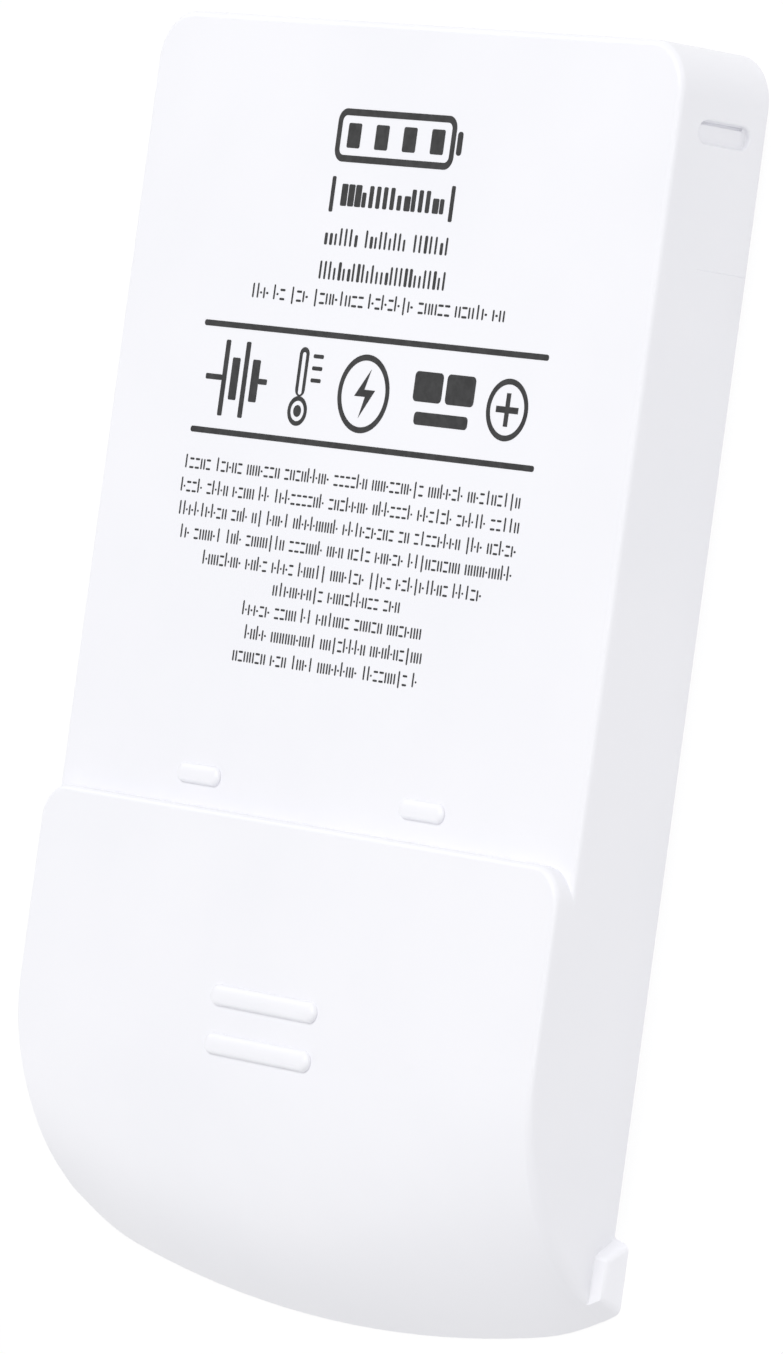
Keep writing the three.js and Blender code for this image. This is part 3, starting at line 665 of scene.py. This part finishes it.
def soft_block(name, x0, x1, y0, y1, z0, z1, r, top=0.1, bottom=0.1, place=None, n=6, steps=5, crown=0.0):
    """Block with rounded plan corners r and edges rounded over top and bottom; crown pulls its rim in over the height."""
    zt = z1 - z0
    rr = []
    for i in range(steps + 1):
        a = math.pi / 2 * i / steps
        rr.append((z0 + bottom * (1 - math.cos(a)), bottom * (1 - math.sin(a))))
    mid = 5 if crown else 1
    for i in range(1, mid):
        u = i / mid
        rr.append((z0 + bottom + (zt - top - bottom) * u, -crown * math.sin(math.pi * u)))
    for i in range(steps + 1):
        a = math.pi / 2 * i / steps
        rr.append((z1 - top + top * math.sin(a), top * (1 - math.cos(a))))
    if crown:
        rr = [(z, d + crown) for z, d in rr]
    return loft(name, [at(round_rect(x0 + d, x1 - d, y0 + d, y1 - d, max(r - d, 0.01), n), z) for z, d in rr], place)


def strip(name, pts, t, half_w, cx, bends, end_r=0.4, n=6):
    """Bent strip metal: pts is its centre line in (y, z), bends the radius at each inner point, across +-half_w about x = cx."""
    line = []
    for i, p in enumerate(pts):
        p = Vector(p)
        if i in (0, len(pts) - 1):
            line.append(p)
            continue
        a, b = (Vector(pts[i - 1]) - p), (Vector(pts[i + 1]) - p)
        a.normalize()
        b.normalize()
        ang = a.angle(b)
        r = bends[i - 1]
        tl = r / math.tan(ang / 2)
        c = p + (a + b).normalized() * (r / math.sin(ang / 2))
        s0, s1 = p + a * tl - c, p + b * tl - c
        A, B = math.atan2(s0.y, s0.x), math.atan2(s1.y, s1.x)
        D = (B - A + math.pi) % (2 * math.pi) - math.pi
        line += [c + Vector((math.cos(A + D * k / n), math.sin(A + D * k / n))) * r for k in range(n + 1)]

    def outline(cut):
        ln = list(line)
        e = (ln[-1] - ln[-2]).normalized()
        ln[-1] = ln[-1] - e * cut
        left, right = [], []
        for i, p in enumerate(ln):
            d0 = (ln[i] - ln[i - 1]).normalized() if i else (ln[1] - ln[0]).normalized()
            d1 = (ln[i + 1] - ln[i]).normalized() if i < len(ln) - 1 else d0
            d = (d0 + d1).normalized()
            nrm = Vector((-d.y, d.x)) * (t / 2)
            left.append(p + nrm)
            right.append(p - nrm)
        return left + right[::-1]
    rings = []
    m = 5
    for side in (-1, 1):
        part = []
        for i in range(m + 1):
            a = math.pi / 2 * i / m
            part.append((side * (half_w - end_r + end_r * math.sin(a)), end_r * (1 - math.cos(a))))
        rings += part[::-1] if side < 0 else part
    return loft(name, [[(p.x, p.y, cx + x) for p in outline(cut)] for x, cut in rings], TO_X)


def weld_spots(me, spots, face, depth, r=0.28, axis="y", sign=-1):
    """Shallow resistance-weld dimples in the face at height `face` along the axis; sign is the way that face looks."""
    tools = []
    for a, b in spots:
        rr = []
        for k, (q, h) in enumerate(((0.2, depth), (0.62, depth * 0.8), (0.88, depth * 0.35), (1.0, 0.0), (1.02, -0.05))):
            lev = face - sign * h
            rr.append([(a + r * q * math.cos(2 * math.pi * i / 16), b + r * q * math.sin(2 * math.pi * i / 16), lev) for i in range(16)])
        tools.append(loft("spot", rr, TO_Y if axis == "y" else None))
    return boolean(me, tools, "DIFFERENCE")


def piece(node, name, me, mat, angle=35.0):
    o = finish_mesh(name, me, angle=angle)
    dress(o, mat)
    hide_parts(node)
    return o


# cell: deep-drawn pouch with folded side seams and a flat sealed terrace
Z0, Z1 = 1.09, 7.01
SHOULDER = TOP_Y - 8.8
pouch_rings = []
for i in range(7):
    a = math.pi / 2 * i / 6
    pouch_rings.append((Z0 + 0.35 * (1 - math.cos(a)), 0.35 * (1 - math.sin(a))))
for u in (0.2, 0.4, 0.6, 0.8):
    pouch_rings.append((Z0 + 0.35 + (Z1 - Z0 - 1.05) * u, 0.0))
for i in range(8):
    a = math.pi / 2 * i / 7
    pouch_rings.append((Z1 - 0.7 + 0.7 * math.sin(a), 0.7 * (1 - math.cos(a))))
body = []
for z, d in pouch_rings:
    lean = 0.38 * max(0.0, (z - 1.9) / 5.1)
    body.append(at(round_rect(-24.5 + d, 24.5 - d, CELL_END + 0.03 + d, SHOULDER - d - lean, 1.5 - d * 0.9, 8), z))
pouch = loft("pouch", body)
folds = []
for sd in (-1, 1):
    rr = []
    for y, d in ((CELL_END + 0.4, 0.16), (CELL_END + 0.5, 0.05), (CELL_END + 0.7, 0.0), (SHOULDER - 0.9, 0.0), (SHOULDER - 0.6, 0.04), (SHOULDER - 0.5, 0.14)):
        a0, a1 = sorted((sd * (24.25), sd * (25.0 - d)))
        rr.append([(x, z, y) for x, z in round_rect(a0, a1, 1.5 + d, 5.35 - d, 0.18, 4)])
    folds.append(loft("fold", rr, TO_Y))
    rr = []
    for y, d in ((CELL_END + 0.6, 0.1), (CELL_END + 0.8, 0.0), (SHOULDER - 1.2, 0.0), (SHOULDER - 1.0, 0.1)):
        a0, a1 = sorted((sd * (24.2), sd * (24.78 - d)))
        rr.append([(x, z, y) for x, z in round_rect(a0, a1, 1.3 + d, 5.62 - d, 0.1, 3)])
    folds.append(loft("fold_inner", rr, TO_Y))
folds.append(soft_block("terrace", -23.8, 23.8, SHOULDER - 1.6, CELL_TOP, 1.59, 1.89, 0.5, 0.07, 0.07))
# the foil's slope from the shoulder to the terrace
slope = []
for x, d in ((-23.6, 0.1), (-23.3, 0.0), (23.3, 0.0), (23.6, 0.1)):
    slope.append([(SHOULDER - 1.2, 1.7, x), (SHOULDER + 0.16 - d, 1.7, x), (SHOULDER + 0.16 - d, 1.885, x), (SHOULDER - 0.02, 2.0, x),
                  (SHOULDER - 0.12, 2.2, x), (SHOULDER - 1.2, 2.3, x)])
folds.append(loft("slope", slope, TO_X))
pouch = boolean(pouch, folds, "UNION")
piece("cell_pouch", "cell_pouch_foil", pouch, "pouch", 32)

# sealant films and metal tabs
TAB_X = 13.0
for nm, x in (("positive_tab_film", TAB_X), ("negative_tab_film", -TAB_X)):
    piece(nm, nm + "_strip", soft_block(nm, x - 3.2, x + 3.2, CELL_TOP + 0.03, CELL_TOP + 0.75, 1.61, 1.87, 0.22, 0.06, 0.06), "film")
T0 = CELL_TOP + 0.78
T1 = BOARD_IN - 0.02 - 0.2 - 0.03
pos = strip("positive", [(T0, 1.74), (T1 - 0.06, 1.74), (T1 - 0.06, 5.6)], 0.12, 2.0, TAB_X, [0.42])
pos = weld_spots(pos, [(TAB_X + a, z) for a in (-0.95, 0.95) for z in (4.0, 4.95)], T1 - 0.12, 0.045)
piece("positive_tab", "positive_tab_strip", pos, "aluminium")
neg = strip("negative", [(T0, 1.74), (T0 + 0.24, 1.74), (T0 + 0.24, 2.5), (CELL_TOP - 2.6, 2.5)], 0.12, 2.0, -TAB_X, [0.2, 0.2])
piece("negative_tab", "negative_tab_strip", neg, "nickel")
for nm, x in (("positive_solder_pad", TAB_X), ("negative_solder_pad", -TAB_X)):
    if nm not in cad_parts:
        raise SystemExit("no node " + nm)
    pad = soft_block(nm, x - 2.4, x + 2.4, 2.4, 6.2, BOARD_IN - 0.22, BOARD_IN - 0.02, 0.5, 0.02, 0.06, TO_Y)
    pad = weld_spots(pad, [(x + a, 5.9) for a in (-1.7, 1.7)], BOARD_IN - 0.22, 0.04, 0.18)
    piece(nm, nm + "_plate", pad, "nickel")

# thermal cutoff in the negative lead
CUT_X, CUT_Z = -5.6, 2.79
cut = soft_block("cutoff", CUT_X - 1.9, CUT_X + 1.9, CELL_TOP - 3.3, CELL_TOP - 0.5, CUT_Z, CUT_Z + 0.94, 0.42, 0.16, 0.1, None, 6, 5)
cut = boolean(cut, [soft_block("lid", CUT_X - 1.3, CUT_X + 1.3, CELL_TOP - 2.7, CELL_TOP - 1.1, CUT_Z + 0.8, CUT_Z + 1.0, 0.3, 0.05, 0.02)], "UNION")
piece("thermal_cutoff", "thermal_cutoff_body", cut, "chip")
lead = soft_block("lead", -TAB_X - 1.4, CUT_X + 1.2, CELL_TOP - 2.3, CELL_TOP - 0.9, 2.58, 2.77, 0.35, 0.04, 0.03)
lead = weld_spots(lead, [(-TAB_X + a, CELL_TOP - 1.6) for a in (-0.6, 0.6)], 2.77, 0.045, 0.28, "z", 1)
piece("cutoff_cell_lead", "cutoff_cell_lead_strip", lead, "nickel")
lead = strip("lead", [(CELL_TOP - 2.2, 3.88), (T1 - 0.06, 3.88), (T1 - 0.06, 5.6)], 0.12, 1.2, -TAB_X, [0.3])
lead = boolean(lead, [soft_block("flat", -TAB_X - 1.1, CUT_X + 1.2, CELL_TOP - 2.2, CELL_TOP - 0.9, 3.825, 3.935, 0.35, 0.02, 0.02)], "UNION")
lead = weld_spots(lead, [(-TAB_X + a, 4.95) for a in (-0.6, 0.6)], T1 - 0.12, 0.045, 0.26)
piece("cutoff_board_lead", "cutoff_board_lead_strip", lead, "nickel")
piece("terrace_tape", "terrace_tape_strip",
      soft_block("tape", -22.6, 22.6, SHOULDER + 0.25, CELL_TOP - 0.1, 1.92, 2.02, 0.35, 0.025, 0.025), "tape")

# protection board with its parts, and the contacts
board = soft_block("board", -23, 23, 1.15, 6.95, BOARD_IN, BOARD_IN + 0.8, 0.45, 0.05, 0.05, TO_Y)
holes = []
for x in (-22.0, 22.0):
    rr = [[(x + 0.42 * math.cos(2 * math.pi * i / 24), 5.9 + 0.42 * math.sin(2 * math.pi * i / 24), y) for i in range(24)] for y in (BOARD_IN - 1, BOARD_IN + 2)]
    holes.append(loft("hole", rr, TO_Y))
board = boolean(board, holes, "DIFFERENCE")
piece("protection_board", "protection_board_laminate", board, "board")
for nm, x in (("positive_contact", 6.6), ("thermistor_contact", 2.2), ("identity_contact", -2.2), ("negative_contact", -6.6)):
    rr = []
    y0, y1 = BOARD_IN + 0.82, BOARD_IN + 1.89
    for y, d in ((y0, 0.05), (y0 + 0.05, 0.0), (y0 + 0.75, 0.0), (y0 + 0.9, 0.03), (y0 + 0.98, 0.09), (y0 + 1.03, 0.2), (y1 - 0.015, 0.4), (y1, 0.65)):
        rr.append([(px, pz, y) for px, pz in round_rect(x - 1.0 + d, x + 1.0 - d, 2.35 + d, 5.75 - d, max(0.32 - d * 0.3, 0.06), 6)])
    piece(nm, nm + "_pad", loft(nm, rr, TO_Y), "gold")


def smd_ic(name, cx, cz, w, h, t, pins, along_x):
    """Moulded package with formed leads on two sides, lying against the board's inner side."""
    y1 = BOARD_IN - 0.02
    lead_l = 0.5 if min(w, h) > 2 else 0.34
    if along_x:
        bx0, bx1, bz0, bz1 = cx - w / 2 + lead_l, cx + w / 2 - lead_l, cz - h / 2, cz + h / 2
    else:
        bx0, bx1, bz0, bz1 = cx - w / 2, cx + w / 2, cz - h / 2 + lead_l, cz + h / 2 - lead_l
    rr = []
    for y, d in ((y1 - t, 0.14), (y1 - t + 0.04, 0.09), (y1 - t / 2, 0.0), (y1 - 0.14, 0.07), (y1 - 0.1, 0.1)):
        rr.append([(px, pz, y) for px, pz in round_rect(bx0 + d, bx1 - d, bz0 + d, bz1 - d, 0.06, 3)])
    me = loft(name, rr, TO_Y)
    add = []
    for sd in (-1, 1):
        for k in range(pins):
            u = (k + 0.5) / pins
            if along_x:
                z = bz0 + (bz1 - bz0) * u
                a0, a1 = sorted((cx + sd * w / 2, cx + sd * (w / 2 - lead_l - 0.2)))
                foot0, foot1 = sorted((cx + sd * w / 2, cx + sd * (w / 2 - lead_l * 0.7)))
                add.append(soft_block("foot", foot0, foot1, z - 0.13, z + 0.13, y1 - 0.13, y1, 0.04, 0.02, 0.03, TO_Y, 2, 2))
                add.append(soft_block("leg", *sorted((cx + sd * (w / 2 - lead_l - 0.2), cx + sd * (w / 2 - lead_l * 0.55))), z - 0.12, z + 0.12,
                                      y1 - t * 0.55, y1 - t * 0.55 + 0.12, 0.04, 0.02, 0.02, TO_Y, 2, 2))
                add.append(soft_block("riser", *sorted((cx + sd * (w / 2 - lead_l * 0.72), cx + sd * (w / 2 - lead_l * 0.5))), z - 0.125, z + 0.125,
                                      y1 - t * 0.55, y1 - 0.05, 0.03, 0.02, 0.02, TO_Y, 2, 2))
            else:
                x = bx0 + (bx1 - bx0) * u
                add.append(soft_block("foot", x - 0.16, x + 0.16, *sorted((cz + sd * h / 2, cz + sd * (h / 2 - lead_l * 0.75))), y1 - 0.12, y1,
                                      0.03, 0.02, 0.03, TO_Y, 2, 2))
                add.append(soft_block("riser", x - 0.15, x + 0.15, *sorted((cz + sd * (h / 2 - lead_l * 0.8), cz + sd * (h / 2 - lead_l * 0.45))), y1 - t * 0.55, y1 - 0.05,
                                      0.03, 0.02, 0.02, TO_Y, 2, 2))
                add.append(soft_block("leg", x - 0.145, x + 0.145, *sorted((cz + sd * (h / 2 - lead_l - 0.15), cz + sd * (h / 2 - lead_l * 0.5))), y1 - t * 0.56,
                                      y1 - t * 0.56 + 0.11, 0.03, 0.02, 0.02, TO_Y, 2, 2))
    me = boolean(me, add, "UNION")
    return me


def smd_chip(name, cx, cz, w, h, t):
    """Two-terminal chip part: plated ends stand a little proud of the body."""
    y1 = BOARD_IN - 0.02
    cap_w = w * 0.24
    rr = []
    for x, d in ((cx - w / 2, 0.05), (cx - w / 2 + 0.04, 0.0), (cx - w / 2 + cap_w - 0.02, 0.0), (cx - w / 2 + cap_w, 0.035),
                 (cx + w / 2 - cap_w, 0.035), (cx + w / 2 - cap_w + 0.02, 0.0), (cx + w / 2 - 0.04, 0.0), (cx + w / 2, 0.05)):
        rr.append([(y, z, x) for y, z in round_rect(y1 - t + d, y1 - d, cz - h / 2 + d, cz + h / 2 - d, 0.07, 3)])
    return loft(name, rr, TO_X)


piece("mosfet_pair", "mosfet_pair_package", smd_ic("mosfet", 4.6, 4.1, 4.4, 3.0, 0.95, 4, True), "chip_x")
piece("protection_chip", "protection_chip_package", smd_ic("chip", -1.6, 4.1, 2.9, 1.7, 0.95, 3, False), "chip_z")
for nm, cx, cz, w, h, t, mt, sl in (
        ("supply_resistor", -4.4, 5.2, 1.0, 0.6, 0.4, "chip_body", "chip_plastic"),
        ("supply_capacitor", -4.4, 3.6, 1.6, 0.85, 0.8, "tan", "capacitor_ceramic"),
        ("output_capacitor", 19.6, 4.4, 1.6, 0.85, 0.8, "tan", "capacitor_ceramic"),
        ("identity_resistor", 19.6, 2.9, 1.0, 0.6, 0.4, "chip_body", "chip_plastic"),
        ("thermistor", -19.4, 3.2, 1.6, 0.85, 0.8, "olive", "thermistor_ceramic")):
    piece(nm, nm + "_part", smd_chip(nm, cx, cz, w, h, t), end_capped(nm + "_ceramic", mt, cx, w))
sense = loft("sense", [[(px, y, pz) for px, y in round_rect(8.1 + d, 9.7 - d, BOARD_IN - 0.57 + d, BOARD_IN - 0.02 - d, 0.08, 3)] for pz, d in
                       ((2.6, 0.05), (2.64, 0.0), (3.13, 0.0), (3.16, 0.04), (5.04, 0.04), (5.07, 0.0), (5.56, 0.0), (5.6, 0.05))])
piece("sense_resistor", "sense_resistor_part", sense, "sense")

# adhesive pads and foam
piece("front_adhesive_pad", "front_adhesive_sheet",
      soft_block("pad", -18, 18, STEP_Y + 2, SHOULDER - 4, 7.03, 7.18, 1.5, 0.03, 0.03), "adhesive")
piece("rear_adhesive_pad", "rear_adhesive_sheet",
      soft_block("pad", -18, 18, CELL_END + 5, SHOULDER - 5, 0.92, 1.07, 1.5, 0.03, 0.03), "adhesive")
for nm, sd in (("left_foam", -1), ("right_foam", 1)):
    me = soft_block(nm, CELL_END + 4, SHOULDER - 4, 2.4, 5.8, 25.08, 25.92, 0.5, 0.14, 0.14, TO_X if sd > 0 else TO_XN, 5, 5, 0.05)
    piece(nm, nm + "_strip", me, "foam")
me = soft_block("end", -21, 21, 3.7, 6.4, RIB_Y + 0.1, CELL_END - 0.1, 0.5, 0.16, 0.16, TO_Y, 5, 5, 0.05)
piece("end_foam", "end_foam_strip", me, "foam")

# ------------------------------------------------------------------ label print
INK_Z0, INK_Z1 = SLAB_T - 0.004, SLAB_T + 0.018
ink_v, ink_f = [], []


def ink(outline, hole=None):
    """Thin closed island of ink from an outline (anticlockwise), with an optional hole."""
    loops = [outline] + ([hole] if hole else [])
    base = len(ink_v)
    flat = [[Vector((x, y, 0)) for x, y in l] for l in loops]
    from mathutils.geometry import tessellate_polygon
    tris = tessellate_polygon(flat)
    pts = [p for l in loops for p in l]
    n = len(pts)
    for z in (INK_Z0, INK_Z1):
        ink_v.extend((x, y, z) for x, y in pts)
    for a, b, c in tris:
        pa, pb, pc = pts[a], pts[b], pts[c]
        up = (pb[0] - pa[0]) * (pc[1] - pa[1]) - (pb[1] - pa[1]) * (pc[0] - pa[0]) > 0
        t = (a, b, c) if up else (a, c, b)
        ink_f.append(tuple(base + n + i for i in t))
        ink_f.append(tuple(base + i for i in t[::-1]))
    start = 0
    for l in loops:
        m = len(l)
        for i in range(m):
            j = (i + 1) % m
            ink_f.append((base + start + i, base + start + j, base + n + start + j, base + n + start + i))
        start += m


def block(x0, x1, y0, y1, r=0.08, n=2):
    ink(round_rect(x0, x1, y0, y1, min(r, (x1 - x0) / 2 - 1e-3, (y1 - y0) / 2 - 1e-3), n))


def ring_shape(cx, cy, ro, ri, n=40):
    o = [(cx + ro * math.cos(2 * math.pi * i / n), cy + ro * math.sin(2 * math.pi * i / n)) for i in range(n)]
    h = [(cx + ri * math.cos(2 * math.pi * i / n), cy + ri * math.sin(2 * math.pi * i / n)) for i in range(n)]
    ink(o, h)


def Y(v):
    return TOP_Y + v


rng = random.Random(7)


def greeked(x0, x1, yc, h, seed, cell=0.47, st=0.145, space=0.42, word=(2, 9)):
    """A line of print as plain ticks and dashes between x0 and x1: word lengths and weight of small type, but no letters."""
    r = random.Random(seed)
    lo, hi = yc - h / 2, yc + h / 2
    x = x0
    while x < x1 - cell:
        for k in range(r.randint(*word)):
            if x + cell > x1 + 0.02:
                break
            t = r.random()
            if t < 0.34:
                block(x, x + st, lo, hi)
                block(x + cell - st, x + cell, lo, hi)
            elif t < 0.56:
                block(x, x + cell, hi - st, hi)
                block(x, x + cell, lo, lo + st)
            elif t < 0.72:
                block(x, x + st, lo, hi + 0.34 * h)
                block(x + st * 2, x + cell, yc - st / 2, yc + st / 2)
            elif t < 0.86:
                block(x, x + st, lo, hi)
                block(x + st * 1.8, x + cell, yc - st / 2, yc + st / 2)
            else:
                block(x + cell / 2 - st / 2, x + cell / 2 + st / 2, lo - (0.26 * h if t > 0.95 else 0), hi + 0.3 * h)
            x += cell + 0.15
        x += space


def ticks(x0, x1, yc, h, st, pitch, seed):
    """A row of upright ticks of two heights."""
    r = random.Random(seed)
    n = int((x1 - x0 - st) / pitch + 1e-6)
    for k in range(n + 1):
        x = x0 + (x1 - x0 - st) * k / n
        short = r.random() < 0.45
        block(x, x + st * (1.0 if r.random() < 0.7 else 1.5), yc - h / 2, yc + h / 2 - (0.32 * h if short else 0.0), 0.1)


# rules
for y in (-22.08, -29.68):
    block(-18.6, 18.4, Y(y) - 0.21, Y(y) + 0.21, 0.2, 5)
# head symbol: a battery outline with its charge bars
ink(round_rect(-6.95, 5.75, Y(-9.95), Y(-6.2), 0.9, 8), round_rect(-6.47, 5.27, Y(-9.47), Y(-6.68), 0.45, 8)[::-1])
block(5.95, 6.5, Y(-8.9), Y(-7.25), 0.22, 5)
for k in range(4):
    x = -5.75 + k * 2.98
    block(x, x + 1.4, Y(-8.95), Y(-7.2), 0.15, 4)
# second line, between two uprights
for s_ in (-1, 1):
    block(s_ * 6.4 - 0.2 - 0.15, s_ * 6.4 + 0.2 - 0.15, Y(-13.5), Y(-11.0), 0.1)
ticks(-5.6, 5.45, Y(-12.25), 1.55, 0.44, 0.74, 5)
ticks(-6.75, -3.3, Y(-15.2), 1.25, 0.2, 0.5, 8)
ticks(-2.35, 1.9, Y(-15.2), 1.25, 0.2, 0.5, 9)
ticks(2.85, 6.4, Y(-15.2), 1.25, 0.2, 0.5, 10)
ticks(-6.85, 6.6, Y(-17.6), 1.3, 0.2, 0.5, 11)
greeked(-14.0, 13.5, Y(-19.6), 0.8, 37, cell=0.55, st=0.16)
# body lines
for (x0, x1, yc, sd) in ((-18.8, 18.2, -32.1, 1), (-18.8, 18.2, -33.78, 2), (-18.8, 18.1, -35.42, 3), (-18.3, 17.6, -37.05, 4),
                         (-15.3, 14.8, -38.7, 5), (-7.2, 6.7, -40.25, 6), (-10.2, 9.6, -41.85, 7), (-9.6, 9.8, -43.5, 8), (-10.6, 9.8, -45.15, 9)):
    greeked(x0, x1, Y(yc), 0.76, 100 + sd)

# symbols between the rules
c = Y(-25.85)
# 1: cell symbol, two pairs of plates on a lead
block(-17.7, -15.9, c - 0.2, c + 0.2, 0.1)
block(-15.9, -15.4, c - 2.7, c + 2.7, 0.1)
block(-14.95, -14.1, c - 1.5, c + 1.5, 0.1)
block(-13.65, -13.15, c - 2.7, c + 2.7, 0.1)
block(-12.7, -11.85, c - 1.5, c + 1.5, 0.1)
block(-11.85, -10.9, c - 0.2, c + 0.2, 0.1)
# 2: thermometer
ring_shape(-7.2, c - 1.75, 1.05, 0.72, 32)
ink([(-7.2 + 0.42 * math.cos(2 * math.pi * i / 20), c - 1.75 + 0.42 * math.sin(2 * math.pi * i / 20)) for i in range(20)])
ink(round_rect(-7.72, -6.68, c - 0.72, c + 2.75, 0.5, 8), round_rect(-7.4, -7.0, c - 0.6, c + 2.4, 0.18, 6)[::-1])
for k in range(3):
    block(-6.2, -5.1, c + 0.35 + k * 0.85, c + 0.63 + k * 0.85, 0.1)
# 3: bolt in a ring
ring_shape(-0.35, c - 0.05, 2.75, 2.33, 56)
ink([(-0.15 + dx, c + dy) for dx, dy in ((-1.15, -0.25), (0.0, -0.25), (-0.45, -1.75), (1.0, 0.25), (-0.15, 0.25), (0.35, 1.7))])
# 4: two plain bars
for x0, x1 in ((4.9, 7.9), (8.3, 11.3)):
    block(x0, x1, c - 0.15, c + 1.95, 0.35, 5)
block(5.3, 10.95, c - 1.75, c - 0.85, 0.3, 5)
# 5: ring with a plus
ring_shape(14.85, c - 0.05, 2.15, 1.75, 48)
ink([(14.85 + dx, c - 0.05 + dy) for dx, dy in ((-0.22, -1.15), (0.22, -1.15), (0.22, -0.22), (1.15, -0.22), (1.15, 0.22), (0.22, 0.22),
                                         (0.22, 1.15), (-0.22, 1.15), (-0.22, 0.22), (-1.15, 0.22), (-1.15, -0.22), (-0.22, -0.22))])

ink_me = bpy.data.meshes.new("label_print")
ink_me.from_pydata([((x + SHIFT) * MM, y * MM, z * MM) for x, y, z in ink_v], [], ink_f)
ink_me.update()
label = bpy.data.objects.new("label_print", ink_me)
bpy.context.scene.collection.objects.link(label)
dress(label, "ink")

# ------------------------------------------------------------------ stage, lights, camera
floor_me = bpy.data.meshes.new("floor")
floor_me.from_pydata([(-4, -4, 0), (4, -4, 0), (4, 4, 0), (-4, 4, 0)], [], [(0, 1, 2, 3)])
floor = bpy.data.objects.new("floor", floor_me)
bpy.context.scene.collection.objects.link(floor)
floor.location.z = -0.00002
fm, fnt, fb = new_mat("floor_white")
fb.inputs["Base Color"].default_value = (0.25, 0.25, 0.25, 1)
fb.inputs["Roughness"].default_value = 0.9
fb.inputs["Specular IOR Level"].default_value = 0.0
fb.inputs["Emission Color"].default_value = (1, 1, 1, 1)
fb.inputs["Emission Strength"].default_value = 0.75
floor.data.materials.append(fm)

world = bpy.data.worlds.new("studio")
bpy.context.scene.world = world
world.use_nodes = True
bg = next(n for n in world.node_tree.nodes if n.type == "BACKGROUND")
bg.inputs["Color"].default_value = (1.0, 1.0, 1.0, 1)
bg.inputs["Strength"].default_value = 0.598


def area(name, loc, target, size, power, size_y=None, color=(1, 1, 1)):
    l = bpy.data.lights.new(name, "AREA")
    l.energy = power
    l.color = color
    l.size = size
    if size_y:
        l.shape = "RECTANGLE"
        l.size_y = size_y
    o = bpy.data.objects.new(name, l)
    o.location = loc
    o.rotation_mode = "QUATERNION"
    o.rotation_quaternion = (Vector(target) - Vector(loc)).to_track_quat("-Z", "Y")
    bpy.context.scene.collection.objects.link(o)
    return o


area("overhead", (0, 0, 1.1), (0, 0, 0), 1.0, 0.32)
area("high_behind", (0, 0.5, 0.95), (0, 0, 0), 0.4, 4.19)
area("soft_camera", (0.62, 0.03, 0.75), (0, 0, 0), 0.3, 1.09)
area("soft_left_front", (-0.8, -0.42, 0.26), (0, 0, 0), 0.5, 0.86)
# gives the small rounded edges that face the contact end their highlight, without lighting the flat faces
edge_light = area("edge_highlight", (-0.757, 0.493, 0.427), (0, 0, 0), 0.35, 1.15)
edge_light.visible_diffuse = False

cam = bpy.data.cameras.new("camera")
camo = bpy.data.objects.new("camera", cam)
bpy.context.scene.collection.objects.link(camo)
cam.sensor_width = 36.0
cam.lens = 8800.0 / 1354.0 * 36.0
cam.clip_start = 0.01
cam.clip_end = 50.0
RC = ((0.64564458, 0.13461117, -0.75168006), (0.09647475, -0.99083226, -0.09457306), (-0.75751944, -0.01145756, -0.65271205))
pos = Vector((465.02854 + SHIFT, -38.09557 + TOP_Y, 403.05732)) * MM
cols = (Vector(RC[0]), -Vector(RC[1]), -Vector(RC[2]))
camo.matrix_world = Matrix.Translation(pos) @ Matrix((
    (cols[0].x, cols[1].x, cols[2].x, 0), (cols[0].y, cols[1].y, cols[2].y, 0), (cols[0].z, cols[1].z, cols[2].z, 0), (0, 0, 0, 1)))
bpy.context.scene.camera = camo
bpy.context.scene.view_settings.view_transform = "Standard"
